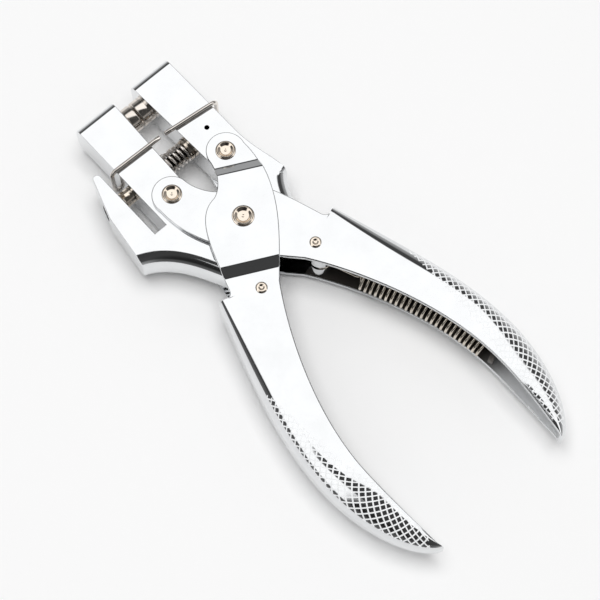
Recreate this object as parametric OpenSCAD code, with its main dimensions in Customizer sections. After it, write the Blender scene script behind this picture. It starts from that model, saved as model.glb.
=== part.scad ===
// Parallel-jaw setting pliers: two crossing channel handles drive two jaws that stay parallel.
// X runs from the left jaw to the right jaw, Y towards the jaw tips, Z up from the rest plane.
// The centre rivet stands on the Z axis. Lengths are in millimetres, angles in degrees.

/* [Linkage] */
// Distance from the centre rivet to each jaw rivet and each tail pin
link_arm = 22.8; // [21:0.1:24]
// Half the angle between the handles as drawn
rest_half_angle = 28; // [26:0.5:30]
// Travel of each handle from the drawn pose to fully open
open_half_angle = 10; // [6:0.5:11]
// Travel of each handle from the drawn pose to fully closed
close_half_angle = 0.5; // [0.3:0.1:0.6]

/* [Jaws] */
// Thickness of both jaws
jaw_t = 12; // [10:0.5:14]
// Distance from the centre rivet to the jaw tips
tip_y = 55; // [53:0.5:58]
// Distance of each jaw's outer side from the tool's axis
jaw_outer = 18; // [17:0.25:19]
// Half the space between the jaws at the tips
throat_half = 3.9; // [3.6:0.1:4.4]
// Lean of each jaw's inner face, which widens the space towards the rear
relief_angle = 2; // [0:0.25:2.5]
// Radius along the tip edge of each jaw
jaw_edge_r = 2; // [1:0.25:3]
// Width of the slotted tail of each jaw
tail_w = 7.6; // [7:0.2:9]
// Width of the slot between the left jaw's block and its wing
wing_slot_w = 4.4; // [4:0.1:5]
// Diameter of the hole through the wing, which the guide bolt goes in by
wing_hole_d = 5.4; // [5.3:0.1:5.8]
// Diameter of the oil hole in the right jaw
oil_hole_d = 1.6; // [1:0.1:2]

/* [Dies] */
// Diameter of the dies
die_d = 8.6; // [8:0.1:9]
// Distance of the die axis behind the jaw tips
die_inset = 4.8; // [4.7:0.1:6]
// Space between the two die faces as drawn
die_gap = 0.5; // [0.45:0.05:0.8]
// Diameter of the die stems
stem_d = 5; // [4:0.1:5.5]
// Length of the die stems
stem_l = 8; // [6:0.5:10]

/* [Handles] */
// Sheet thickness of the handles
sheet_t = 1.5; // [1.2:0.1:1.8]
// Radius of the plate ends round the jaw rivets
plate_end_r = 6; // [5.6:0.1:6.6]
// Distance from the centre rivet to the handle tips, along the tool's axis
handle_reach = 111.6; // [105:0.5:118]
// Half the width over the widest part of the grips
grip_half_w = 37.6; // [36:0.2:40]
// Outer bend radius of the channel where the grip starts
bend_start_r = 2.3; // [2:0.1:3]
// Half the length of the raised middle of the left handle's plates
raised_half_l = 14.6; // [14:0.1:15]
// Length of each sloping step beside the raised middle
step_l = 2.9; // [2:0.1:3]

/* [Rivets] */
// Head diameter of the centre rivet
centre_head_d = 6.8; // [6.4:0.1:8]
// Head diameter of the jaw rivets
jaw_head_d = 6.2; // [6:0.1:7]
// Head diameter of the tail pins
pin_head_d = 3.6; // [3.4:0.1:4.5]
// Shank diameter of the centre rivet
centre_shank_d = 5; // [4:0.1:5.4]
// Shank diameter of the jaw rivets
jaw_shank_d = 4.4; // [4:0.1:5]
// Shank diameter of the tail pins
pin_shank_d = 2.6; // [2.2:0.1:3]
// Height of the centre and jaw rivet heads
head_h = 0.8; // [0.5:0.1:1.2]
// Outer diameter of the spacer on the centre rivet
spacer_d = 8.4; // [7:0.1:9]

/* [Guide bolt and jaw spring] */
// Distance of the guide bolt behind the jaw tips
guide_inset = 23.8; // [23:0.1:24.5]
// Shank diameter of the guide bolt
guide_d = 3.6; // [3:0.1:3.8]
// Head diameter of the guide bolt
guide_head_d = 5.2; // [4.8:0.1:5.3]
// Head height of the guide bolt
guide_head_h = 3.4; // [2.5:0.1:3.6]
// Outer diameter of the jaw spring
jaw_spring_d = 6.9; // [6.6:0.1:7.4]
// Wire diameter of the jaw spring
jaw_wire_d = 0.7; // [0.5:0.05:0.75]
// Turns of the jaw spring
jaw_turns = 6; // [4:1:6]
// Thickness of the cap between the jaw spring and the right jaw
cap_t = 1.6; // [1:0.1:2]

/* [Return spring] */
// Outer diameter of the return spring
return_spring_d = 8; // [7:0.1:8.6]
// Wire diameter of the return spring
return_wire_d = 0.9; // [0.7:0.05:1]
// Turns of the return spring
return_turns = 26; // [20:1:27]
// Diameter of the pin that the return spring hooks on
hook_pin_d = 2; // [1.6:0.1:2.4]
// Thickness of the plate that anchors the return spring in the handle
anchor_t = 1.5; // [1:0.1:2]

/* [Stop wires] */
// Diameter of the stop wires
stop_wire_d = 1.4; // [1:0.1:1.6]
// Distance of the stop wires behind the jaw tips, on the tool's axis
stop_inset = 17.9; // [17.5:0.1:18.5]
// Half the space between the free ends of the stop wires
stop_gap_half = 1.1; // [0.8:0.1:2]
// Forward slant of the left stop wire across its jaw
left_stop_slant = 1.5; // [0:0.5:4]
// Backward slant of the right stop wire across its jaw
right_stop_slant = 6.5; // [4:0.5:8]
// Distance of each stop wire's base from the side of its jaw, to the middle of the wire
stop_out = 1.6; // [1.6:0.1:2]
// Bend radius of the stop wires at their middle
stop_bend_r = 1.6; // [1.2:0.1:1.6]

/* [Clearances] */
// Side clearance between the layers of the joint
layer_gap = 0.15; // [0.1:0.05:0.3]
// Clearance per side of rivets and pins in the pieces that turn or slide on them
running_gap = 0.08; // [0.05:0.01:0.1]
// Clearance per side of pieces that are pressed or screwed into their seats
seat_gap = 0.02; // [0.01:0.01:0.05]

/* [Hidden] */
$fn = 64;
// Extra depth of a cut past a face, and a length that runs past every edge of the jaws and plates
cut = 0.5;
beyond = 60;

// Layers, measured from the middle plane of the tool
plate_z = jaw_t / 2 + layer_gap;
plate_top = plate_z + sheet_t;
raised_z = plate_top + layer_gap;
raised_top = raised_z + sheet_t;
mid_z = raised_top + head_h;
pin_head_h = head_h * 0.6;

// Rivets and pins
pivot_x = link_arm * sin(rest_half_angle);
pivot_y = link_arm * cos(rest_half_angle);
open_slide = 2 * link_arm * (cos(rest_half_angle) - cos(rest_half_angle + open_half_angle));
close_slide = 2 * link_arm * (cos(rest_half_angle - close_half_angle) - cos(rest_half_angle));

// Jaw stations
die_y = tip_y - die_inset;
guide_y = tip_y - guide_inset;
stop_y = tip_y - stop_inset;
function inner_x(y) = throat_half + (tip_y - y) * tan(relief_angle);
die_seat_depth = 0.6;
die_seat_x = inner_x(die_y) + die_seat_depth;
spring_seat_depth = 0.55;
spring_room = 0.4;
spring_seat_x = inner_x(guide_y) + spring_seat_depth;
blind_wall = 2;
guide_bore_end = jaw_outer - blind_wall;
guide_end = guide_bore_end - blind_wall;
slot_end_gap = 0.3;
tail_in = pivot_x - tail_w / 2;
tail_out = pivot_x + tail_w / 2;
tail_end_y = -pivot_y - 2.4;
hook_y = tail_end_y - 1.6;
hook_room = 0.4;
oil_hole_back = 4;
oil_hole_shift = 0.9;
flare_y = 24;
wing_x = jaw_outer + wing_slot_w;
slot_end_y = tip_y - 40.6;
wing_tip_y = tip_y - 15.4;
wing_tip_r = 1.35;

// Point on a cubic curve with control points p
function curve(p, t) = pow(1 - t, 3) * p[0] + 3 * t * pow(1 - t, 2) * p[1]
    + 3 * t * t * (1 - t) * p[2] + pow(t, 3) * p[3];
function curve_points(p, n) = [for (i = [0:n]) curve(p, i / n)];
function unit(v) = v / norm(v);

// Grip edges of the right handle, from the plates to the tip
grip_split = 0.58;
grip_in_start = [5, -21.7];
grip_out_start = [22.8, -15];
grip_tip = [23.6, -handle_reach];
grip_in_mid = [grip_half_w - 11.9, -81];
grip_out_mid = [grip_half_w, -77];
grip_in = [[grip_in_start, [14.9, -36.7], [grip_in_mid[0] - 0.5, -60], grip_in_mid],
           [grip_in_mid, grip_in_mid + [0.2, -9], grip_tip + [1.4, 11.6], grip_tip + [0.6, 2]]];
grip_out = [[grip_out_start, [30.1, -35.7], [grip_half_w, -56], grip_out_mid],
            [grip_out_mid, [grip_half_w, -92], grip_tip + [7.9, 1.6], grip_tip]];
function grip_point(edge, t) = t < grip_split
    ? curve(edge[0], t / grip_split)
    : curve(edge[1], (t - grip_split) / (1 - grip_split));

// Channel section at station t: width, half depth, outer bend radius, and direction across
function grip_across(t) = grip_point(grip_out, t) - grip_point(grip_in, t);
function grip_w(t) = norm(grip_across(t));
tip_taper_start = 0.6;
tip_drop = 4;
bend_full_at = 0.28;
bend_margin = 0.3;
bend_share = 0.78;
wall_share = 0.72;
tip_half_depth = plate_top - tip_drop;
function half_depth(t) = t < tip_taper_start ? plate_top
    : tip_half_depth + (plate_top - tip_half_depth)
      * cos(90 * (t - tip_taper_start) / (1 - tip_taper_start));
function bend_growth(t) = sin(90 * min(1, t / bend_full_at));
function bend_r(t) = min(bend_start_r + (plate_top - bend_margin - bend_start_r) * bend_growth(t),
                         bend_share * grip_w(t), half_depth(t) - bend_margin);

// Section of the channel, going round its outside from the front edge and back round its inside
bend_steps = 5;
function quarter(c, r, from) = [for (i = [0:bend_steps])
    c + r * [cos(from - 90 * i / bend_steps), sin(from - 90 * i / bend_steps)]];
function channel_skin(w, h, r, back) = concat(
    [[0, h]], quarter([w - back - r, h - r], r, 90), quarter([w - back - r, r - h], r, 0), [[0, -h]]);
function reversed(list) = [for (i = [len(list) - 1:-1:0]) list[i]];
function wall_at(t) = min(sheet_t, wall_share * grip_w(t));
function channel_section(t) = let (w = grip_w(t), h = half_depth(t), r = bend_r(t), s = wall_at(t))
    concat(channel_skin(w, h, r, 0), reversed(channel_skin(w, h - s, max(r - s, 0.25), s)));
function placed_section(t) = let (o = grip_point(grip_in, t), d = unit(grip_across(t)))
    [for (p = channel_section(t)) [o[0] + p[0] * d[0], o[1] + p[0] * d[1], p[1]]];

// Closed loft through rings of n points, with a cap over each end made of strips between the skins
function loft_faces(rings, n) = [for (k = [0:rings - 2]) for (i = [0:n - 1])
    let (a = k * n + i, b = k * n + (i + 1) % n) each [[a, b, b + n], [a, b + n, a + n]]];
function cap_faces(base, n, flip) = [for (i = [0:n / 2 - 2])
    let (a = base + i, b = base + i + 1, c = base + n - 2 - i, d = base + n - 1 - i)
    each flip ? [[a, b, c], [a, c, d]] : [[c, b, a], [d, c, a]]];

grip_rings = 30;
module grip_channel() {
    sections = [for (k = [0:grip_rings - 1]) placed_section(k / (grip_rings - 1))];
    n = len(sections[0]);
    polyhedron([for (s = sections) each s],
               concat(loft_faces(grip_rings, n), cap_faces(0, n, false),
                      cap_faces((grip_rings - 1) * n, n, true)));
}

// Flat outline of a handle's plates, drawn for the right handle, which crosses to the left jaw
plate_steps = 8;
module plate_outline() {
    end = [-pivot_x, pivot_y];
    left_side = end + [-plate_end_r, -1.6];
    right_side = end + [plate_end_r - 0.1, 0.5];
    hub_top = [2.6, 10.2];
    waist = [18.2, -14.2];
    shoulder = grip_in_start + (norm(grip_out_start - grip_in_start) - bend_start_r)
               * unit(grip_out_start - grip_in_start);
    polygon(concat(
        curve_points([grip_in_start, [-5.2, -10.5], [-16.9, 1], left_side], plate_steps),
        curve_points([right_side, right_side + [0.6, -4.1], hub_top + [-3.8, 1.2], hub_top], plate_steps),
        curve_points([hub_top, [10.2, 9.3], [13.2, 1.5], waist], plate_steps),
        curve_points([waist, waist + [0.3, -1.2], shoulder + [-1, -0.4], shoulder], 4)));
    translate(end) circle(plate_end_r);
}

// Side profile of a plate that steps over the other handle at the centre rivet
module stepped_profile() {
    low = raised_half_l + step_l;
    polygon([[-beyond, plate_z], [-low, plate_z], [-raised_half_l, raised_z], [raised_half_l, raised_z],
             [low, plate_z], [beyond, plate_z], [beyond, plate_top], [low, plate_top],
             [raised_half_l, raised_top], [-raised_half_l, raised_top], [-low, plate_top],
             [-beyond, plate_top]]);
}

module flat_plate() {
    translate([0, 0, plate_z]) linear_extrude(sheet_t) plate_outline();
}

module stepped_plate() {
    intersection() {
        translate([0, 0, plate_z]) linear_extrude(raised_top - plate_z) plate_outline();
        rotate([0, 0, rest_half_angle]) rotate([90, 0, 90]) translate([0, 0, -beyond])
            linear_extrude(2 * beyond) stepped_profile();
    }
}

module both_faces() {
    children();
    mirror([0, 0, 1]) children();
}

module hole(d, x, y) {
    translate([x, y, -mid_z - cut]) cylinder(d = d, h = 2 * mid_z + 2 * cut);
}

module right_handle() {
    color("gainsboro") translate([0, 0, mid_z]) difference() {
        union() {
            both_faces() flat_plate();
            grip_channel();
        }
        hole(centre_shank_d + 2 * running_gap, 0, 0);
        hole(jaw_shank_d + 2 * seat_gap, -pivot_x, pivot_y);
        hole(pin_shank_d + 2 * seat_gap, pivot_x, -pivot_y);
    }
}

module left_handle() {
    color("gainsboro") translate([0, 0, mid_z]) mirror([1, 0, 0]) difference() {
        union() {
            both_faces() stepped_plate();
            grip_channel();
        }
        hole(centre_shank_d + 2 * seat_gap, 0, 0);
        hole(jaw_shank_d + 2 * seat_gap, -pivot_x, pivot_y);
        hole(pin_shank_d + 2 * seat_gap, pivot_x, -pivot_y);
    }
}

// Outline of a jaw without its wing, drawn for the right jaw
rear_corner = [jaw_outer + 3, 3.9];
tail_neck_y = -13;
module jaw_outline() {
    polygon(concat(
        [[inner_x(tip_y), tip_y], [inner_x(-3), -3], [tail_in, -8], [tail_in, tail_end_y],
         [tail_out, tail_end_y]],
        curve_points([[tail_out, tail_neck_y], [tail_out + 1.1, -6], rear_corner - [3.8, 3.7], rear_corner],
                     plate_steps),
        curve_points([rear_corner, rear_corner + [-0.3, 6], [jaw_outer, 16], [jaw_outer, flare_y]],
                     plate_steps),
        [[jaw_outer, tip_y]]));
    translate([pivot_x, tail_end_y]) circle(tail_w / 2);
}

// The left jaw's wing, which stands outside the block across an open slot
wing_rear = [jaw_outer + 13.6, 10.8];
module wing_outline() {
    bend = [jaw_outer + 11.2, tip_y - 27.8];
    polygon(concat(
        curve_points([[tail_out, tail_neck_y], [tail_out + 2, -3], wing_rear - [11.1, 3], wing_rear],
                     plate_steps),
        [bend, [wing_x + 2 * wing_tip_r, wing_tip_y], [wing_x, wing_tip_y], [wing_x, slot_end_y],
         [pivot_x, slot_end_y], [pivot_x, tail_neck_y]]));
    translate([wing_x + wing_tip_r, wing_tip_y]) circle(wing_tip_r);
}

// Outline of the left jaw with its wing, before mirroring
module winged_outline() {
    difference() {
        union() {
            jaw_outline();
            wing_outline();
        }
        translate([jaw_outer, slot_end_y]) square([wing_slot_w, beyond]);
    }
}

// Rectangle from the origin corner with both far corners rounded in X
module round_nosed(l, h, r) {
    translate([0, -h / 2]) square([l - r, h]);
    translate([0, r - h / 2]) square([l, h - 2 * r]);
    for (side = [-1, 1]) translate([l - r, side * (h / 2 - r)]) circle(r);
}

// Solid of a jaw's thickness over an outline, with both edges of its tip rounded
module jaw_block() {
    intersection() {
        translate([0, 0, -jaw_t / 2]) linear_extrude(jaw_t) children();
        translate([-cut, -beyond, 0]) rotate([90, 0, 90]) linear_extrude(beyond)
            round_nosed(tip_y + beyond, jaw_t, jaw_edge_r);
    }
}

module along_x(x, y) {
    translate([x, y, 0]) rotate([0, 90, 0]) children();
}

// Cuts that both jaws share: pivot bore, tail slot, die seat and spring seat
module jaw_cuts() {
    hole(jaw_shank_d + 2 * running_gap, pivot_x, pivot_y);
    slot_d = pin_shank_d + 2 * running_gap;
    slot_front = -pivot_y + open_slide + slot_end_gap;
    slot_back = -pivot_y - close_slide - slot_end_gap;
    hole(slot_d, pivot_x, slot_front);
    hole(slot_d, pivot_x, slot_back);
    translate([pivot_x - slot_d / 2, slot_back, -jaw_t]) cube([slot_d, slot_front - slot_back, 2 * jaw_t]);
    along_x(die_seat_x, die_y) cylinder(d = stem_d + 2 * seat_gap, h = stem_l + cut);
    along_x(0, die_y) cylinder(d = die_d + 2 * seat_gap, h = die_seat_x);
    along_x(0, guide_y) cylinder(d = jaw_spring_d + 2 * spring_room, h = spring_seat_x);
}

module right_jaw() {
    color("silver") translate([0, 0, mid_z]) difference() {
        jaw_block() jaw_outline();
        jaw_cuts();
        along_x(0, guide_y) cylinder(d = guide_d + 2 * running_gap, h = guide_bore_end);
        translate([guide_bore_end - oil_hole_back, guide_y - oil_hole_shift, 0])
            cylinder(d = oil_hole_d, h = jaw_t);
        hole(hook_pin_d + 2 * seat_gap, pivot_x, hook_y);
        translate([0, hook_y - tail_w, -return_wire_d])
            cube([2 * pivot_x, tail_w + hook_pin_d / 2 + hook_room, 2 * return_wire_d]);
    }
}

module left_jaw() {
    in_slot = jaw_outer + wing_slot_w / 2;
    color("silver") translate([0, 0, mid_z]) mirror([1, 0, 0]) difference() {
        jaw_block() winged_outline();
        jaw_cuts();
        along_x(0, guide_y) cylinder(d = guide_d + 2 * seat_gap, h = in_slot);
        along_x(in_slot, guide_y) cylinder(d = wing_hole_d, h = beyond);
    }
}

// Semi-hollow rivet with a flared rim round a blind crater at each end, revolved about Z
crater_share = 0.42;
crater_floor_share = 0.33;
crater_depth_share = 0.11;
module hollow_rivet(head_d, shank_d, head, grip) {
    rim = head * 0.35;
    crater_floor = grip + head - crater_depth_share * head_d;
    half = [[0, 0], [shank_d / 2, 0], [shank_d / 2, grip], [head_d / 2, grip],
            [head_d / 2, grip + head - rim], [head_d / 2 - rim, grip + head],
            [crater_share * head_d, grip + head], [crater_floor_share * head_d, crater_floor],
            [0, crater_floor]];
    both_faces() rotate_extrude() polygon(half);
}

// Solid pin with a shallow dimple in each head
module dimpled_pin(head_d, shank_d, head, grip) {
    rim = head * 0.35;
    half = [[0, 0], [shank_d / 2, 0], [shank_d / 2, grip], [head_d / 2, grip],
            [head_d / 2, grip + head - rim], [head_d / 2 - rim, grip + head],
            [head_d * 0.22, grip + head], [0, grip + head * 0.5]];
    both_faces() rotate_extrude() polygon(half);
}

module centre_rivet() {
    color("tan") translate([0, 0, mid_z]) hollow_rivet(centre_head_d, centre_shank_d, head_h, raised_top);
}

module centre_spacer() {
    half = plate_z - layer_gap / 2;
    color("silver") translate([0, 0, mid_z - half]) difference() {
        cylinder(d = spacer_d, h = 2 * half);
        translate([0, 0, -cut]) cylinder(d = centre_shank_d + 2 * seat_gap, h = 2 * half + 2 * cut);
    }
}

module left_jaw_rivet() {
    color("tan") translate([-pivot_x, pivot_y, mid_z])
        hollow_rivet(jaw_head_d, jaw_shank_d, head_h, plate_top);
}

module right_jaw_rivet() {
    color("tan") translate([pivot_x, pivot_y, mid_z])
        hollow_rivet(jaw_head_d, jaw_shank_d, head_h, plate_top);
}

module left_tail_pin() {
    color("tan") translate([-pivot_x, -pivot_y, mid_z])
        dimpled_pin(pin_head_d, pin_shank_d, pin_head_h, plate_top);
}

module right_tail_pin() {
    color("tan") translate([pivot_x, -pivot_y, mid_z])
        dimpled_pin(pin_head_d, pin_shank_d, pin_head_h, plate_top);
}

// Die revolved about its axis, from its face at die_gap / 2 to the end of its stem
die_dish_r = die_d / 2 - 1.1;
post_d = 2;
module die_body(dish) {
    face = die_gap / 2;
    bevel = 0.4;
    along_x(0, die_y) rotate_extrude() polygon([
        [0, face + dish], [die_dish_r - dish, face + dish], [die_dish_r, face], [die_d / 2 - bevel, face],
        [die_d / 2, face + bevel], [die_d / 2, die_seat_x], [stem_d / 2, die_seat_x],
        [stem_d / 2, die_seat_x + stem_l - bevel], [stem_d / 2 - bevel, die_seat_x + stem_l],
        [0, die_seat_x + stem_l]]);
}

module left_die() {
    color("rosybrown") translate([0, 0, mid_z]) mirror([1, 0, 0]) die_body(1.2);
}

module right_die() {
    color("rosybrown") translate([0, 0, mid_z]) difference() {
        die_body(0.8);
        along_x(0, die_y) cylinder(d = post_d + 2 * seat_gap, h = die_seat_x + stem_l / 2);
    }
}

module right_die_post() {
    nose = 0.5;
    color("rosybrown") translate([0, 0, mid_z]) along_x(0, die_y) rotate_extrude() polygon([
        [0, die_gap / 2], [post_d / 2 - nose, die_gap / 2], [post_d / 2, die_gap / 2 + nose],
        [post_d / 2, die_seat_x + stem_l / 2 - seat_gap], [0, die_seat_x + stem_l / 2 - seat_gap]]);
}

// Clip of round wire: a leg across each face of the jaw, joined by a base beside its outer side
stop_base_x = jaw_outer + stop_out;
wire_leg_z = jaw_t / 2 + stop_wire_d / 2 + seat_gap;
module stop_clip(slant) {
    leg = (stop_base_x - stop_gap_half) / cos(slant);
    translate([stop_base_x, stop_y + stop_base_x * tan(slant), 0]) {
        translate([0, 0, stop_bend_r - wire_leg_z])
            cylinder(d = stop_wire_d, h = 2 * (wire_leg_z - stop_bend_r));
        rotate([0, 0, slant]) both_faces() {
            translate([-stop_bend_r, 0, wire_leg_z - stop_bend_r]) rotate([90, 0, 0])
                rotate_extrude(angle = 90) translate([stop_bend_r, 0]) circle(d = stop_wire_d);
            translate([-leg, 0, wire_leg_z]) {
                rotate([0, 90, 0]) cylinder(d = stop_wire_d, h = leg - stop_bend_r);
                sphere(d = stop_wire_d);
            }
        }
    }
}

module left_stop_wire() {
    color("dimgray") translate([0, 0, mid_z]) mirror([1, 0, 0]) stop_clip(left_stop_slant);
}

module right_stop_wire() {
    color("dimgray") translate([0, 0, mid_z]) stop_clip(-right_stop_slant);
}

module guide_bolt() {
    bevel = 0.5;
    driver_slot = 1;
    color("tan") translate([0, 0, mid_z]) difference() {
        along_x(0, guide_y) rotate_extrude() polygon([
            [0, -jaw_outer - guide_head_h], [guide_head_d / 2 - bevel, -jaw_outer - guide_head_h],
            [guide_head_d / 2, -jaw_outer - guide_head_h + bevel], [guide_head_d / 2, -jaw_outer],
            [guide_d / 2, -jaw_outer], [guide_d / 2, guide_end - bevel], [guide_d / 2 - bevel, guide_end],
            [0, guide_end]]);
        translate([-jaw_outer - guide_head_h - cut, guide_y - guide_head_d / 2, -driver_slot / 2])
            cube([driver_slot + cut, guide_head_d, driver_slot]);
    }
}

module spring_cap() {
    color("tan") translate([0, 0, mid_z]) along_x(spring_seat_x - layer_gap - cap_t, guide_y) difference() {
        cylinder(d = jaw_spring_d, h = cap_t);
        translate([0, 0, -cut]) cylinder(d = guide_d + 2 * running_gap, h = cap_t + 2 * cut);
    }
}

// Round wire swept along a path; each step is a pair of a point and a direction beside the path
wire_sides = 6;
function heading(path, i) = unit(path[min(i + 1, len(path) - 1)][0] - path[max(i - 1, 0)][0]);
function wire_ring(path, i, r) = let (t = heading(path, i), side = path[i][1],
    u = unit(side - (side * t) * t), v = cross(t, u))
    [for (k = [0:wire_sides - 1]) let (a = 360 * k / wire_sides) path[i][0] + r * (cos(a) * u + sin(a) * v)];
module swept_wire(path, d) {
    last = (len(path) - 1) * wire_sides;
    fan = [for (k = [1:wire_sides - 2]) [0, k + 1, k]];
    polyhedron([for (i = [0:len(path) - 1]) each wire_ring(path, i, d / 2)],
               concat([for (f = loft_faces(len(path), wire_sides)) [f[0], f[2], f[1]]],
                      [for (f = fan) [f[0], f[2], f[1]]], [for (f = fan) f + [last, last, last]]));
}

// Least space between turns of a wire: points less than about a turn apart are left out
turn_steps = 8;
function least_gap(path, d) = min([for (i = [0:len(path) - 1]) for (k = [i + turn_steps - 2:1:len(path) - 1])
    norm(path[i][0] - path[k][0])]) - d;

// Jaw spring: a helix on the guide bolt with a short straight end square to each seat
jaw_spring_r = (jaw_spring_d - jaw_wire_d) / 2;
jaw_spring_from = -spring_seat_x + seat_gap;
jaw_spring_to = spring_seat_x - layer_gap - cap_t - seat_gap;
function jaw_side(a) = [0, cos(a), sin(a)];
function jaw_step(x, a) = [[x, guide_y, 0] + jaw_spring_r * jaw_side(a), jaw_side(a)];
jaw_coil_from = jaw_spring_from + jaw_wire_d;
jaw_coil_l = jaw_spring_to - jaw_spring_from - 2 * jaw_wire_d;
jaw_spring_path = concat([jaw_step(jaw_spring_from, 0)],
    [for (i = [0:jaw_turns * turn_steps]) jaw_step(jaw_coil_from + jaw_coil_l * i / (jaw_turns * turn_steps),
                                                   360 * i / turn_steps)],
    [jaw_step(jaw_spring_to, 0)]);
module jaw_spring() {
    echo(jaw_spring_least_gap = least_gap(jaw_spring_path, jaw_wire_d));
    color("darkgray") translate([0, 0, mid_z]) swept_wire(jaw_spring_path, jaw_wire_d);
}

// Return spring: lies along the right handle's channel, with a leg to the hook pin and a straight rear end
return_spring_r = (return_spring_d - return_wire_d) / 2;
spring_inset = return_spring_d / 2 - 0.4;
coil_from = 0.17;
coil_to = 0.53;
rear_end_at = coil_to + 0.025;
anchor_at = rear_end_at + 0.0101;
function axis_point(t) = grip_point(grip_in, t) + spring_inset * unit(grip_across(t));
function axis_heading(t) = unit(axis_point(t + 0.01) - axis_point(t - 0.01));
function return_side(t, a) = let (h = axis_heading(t)) [h[1] * cos(a), -h[0] * cos(a), sin(a)];
function return_step(t, a, r) = let (p = axis_point(t), side = return_side(t, a))
    [[p[0], p[1], 0] + r * side, side];
return_steps = (return_turns + 0.5) * turn_steps;
hook_point = [pivot_x, hook_y];
leg_start = axis_point(coil_from - 0.02);
leg_end = hook_point + unit(leg_start - hook_point) * (hook_pin_d / 2 + layer_gap);
function flat_step(p, a) = [[p[0], p[1], 0], return_side(coil_from, a)];
return_spring_path = concat(
    [flat_step(leg_end, -45), flat_step((leg_end + leg_start) / 2, -45), flat_step(leg_start, -45)],
    [return_step(coil_from - 0.005, -45, return_spring_r * 0.6)],
    [for (i = [0:return_steps]) return_step(coil_from + (coil_to - coil_from) * i / return_steps,
                                            360 * i / turn_steps, return_spring_r)],
    [return_step((coil_to + rear_end_at) / 2, 180, return_spring_r),
     return_step(rear_end_at, 180, return_spring_r)]);
module return_spring() {
    echo(return_spring_least_gap = least_gap(return_spring_path, return_wire_d));
    color("darkgray") translate([0, 0, mid_z]) swept_wire(return_spring_path, return_wire_d);
}

module spring_hook_pin() {
    color("tan") translate([pivot_x, hook_y, mid_z - jaw_t / 2]) cylinder(d = hook_pin_d, h = jaw_t);
}

// Plate across the inside of the right handle's channel, deep enough to hold the spring's rear end
module spring_anchor() {
    anchor_inset = spring_inset + return_spring_r - 3 * return_wire_d;
    anchor_room = 0.3;
    w = grip_w(anchor_at) - sheet_t - 2 * anchor_room;
    h = half_depth(anchor_at) - sheet_t - anchor_room;
    r = h - anchor_room;
    o = grip_point(grip_in, anchor_at);
    d = unit(grip_across(anchor_at));
    color("silver") translate([o[0], o[1], mid_z]) rotate([0, 0, atan2(d[1], d[0])])
        rotate([90, 0, 0]) linear_extrude(anchor_t)
        translate([anchor_inset, 0]) round_nosed(w - anchor_inset, 2 * h, r);
}

left_handle();
right_handle();
left_jaw();
right_jaw();
centre_rivet();
centre_spacer();
left_jaw_rivet();
right_jaw_rivet();
left_tail_pin();
right_tail_pin();
left_die();
right_die();
right_die_post();
left_stop_wire();
right_stop_wire();
guide_bolt();
jaw_spring();
spring_cap();
return_spring();
spring_hook_pin();
spring_anchor();
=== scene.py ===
"""Parallel-jaw setting pliers: plated sheet handles, solid jaws, rivets, dies, wire stops and springs."""

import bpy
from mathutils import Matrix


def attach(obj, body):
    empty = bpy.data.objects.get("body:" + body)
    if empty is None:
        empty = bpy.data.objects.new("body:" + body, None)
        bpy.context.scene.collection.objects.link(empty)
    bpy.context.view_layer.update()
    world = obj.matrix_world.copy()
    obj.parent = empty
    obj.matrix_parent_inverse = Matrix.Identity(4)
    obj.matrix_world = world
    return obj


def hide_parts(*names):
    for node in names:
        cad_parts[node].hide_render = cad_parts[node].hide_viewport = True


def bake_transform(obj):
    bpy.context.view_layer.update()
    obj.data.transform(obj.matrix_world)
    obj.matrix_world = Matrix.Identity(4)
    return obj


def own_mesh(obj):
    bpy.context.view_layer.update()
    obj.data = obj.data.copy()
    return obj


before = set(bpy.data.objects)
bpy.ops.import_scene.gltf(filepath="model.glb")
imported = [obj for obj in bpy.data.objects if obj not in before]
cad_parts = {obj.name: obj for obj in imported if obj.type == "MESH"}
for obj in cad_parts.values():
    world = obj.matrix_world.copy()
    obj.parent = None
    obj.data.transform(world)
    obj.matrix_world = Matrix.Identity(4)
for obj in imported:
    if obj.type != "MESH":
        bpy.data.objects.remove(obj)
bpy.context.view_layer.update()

import math

import bmesh
import bpy
import numpy as np
from bpy.props import FloatProperty, FloatVectorProperty, PointerProperty
from mathutils import Matrix, Vector

bl_info = {
    "name": "Setting pliers",
    "version": (1, 0, 0),
    "blender": (4, 5, 0),
    "location": "View3D > Sidebar > Pliers",
    "description": "Builds plated parallel-jaw setting pliers over their solid frame",
    "category": "Add Mesh",
}

MM = 0.001

# Sizes of the pieces, in millimetres about the tool's middle plane, most of them as in the solid frame
LINK_ARM = 22.8
HALF_ANGLE = math.radians(28)
PIVOT_X = LINK_ARM * math.sin(HALF_ANGLE)
PIVOT_Y = LINK_ARM * math.cos(HALF_ANGLE)
OPEN_SLIDE = 4.33
SLOT_FRONT_ROOM = 0.3
SLOT_REAR_ROOM = 0.5
JAW_T = 12
TIP_Y = 55
ROUND_TIP_Y = TIP_Y + 1.8
JAW_OUTER = 18
JAW_TIP_R = 2.8
JAW_REAR_R = 4
CRISP_ANGLE = math.radians(28)
REAR_FULLNESS = 1.5
THROAT_HALF = 3.9
RELIEF_SLOPE = math.tan(math.radians(2))
FLARE_Y = 24
TAIL_W = 7.6
TAIL_IN = PIVOT_X - TAIL_W / 2
TAIL_OUT = PIVOT_X + TAIL_W / 2
TAIL_NECK_Y = -13
TAIL_END_Y = -PIVOT_Y - 2.4
INNER_END_Y = -3
TAIL_TOP_Y = -8
HOOK_Y = TAIL_END_Y - 1.6
REAR_CORNER = (21, 3.9)
WING_X = JAW_OUTER + 4.4
WING_TIP = (WING_X + 1.35, 39.6)
WING_TIP_R = 1.35
WING_BEND = (29.2, 27.2)
WING_REAR = (31.6, 10.8)
WING_SLOT_END = 14.4
WING_HOLE_R = 2.7
OIL_HOLE = (12, 30.3)
OIL_HOLE_R = 0.8
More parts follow.
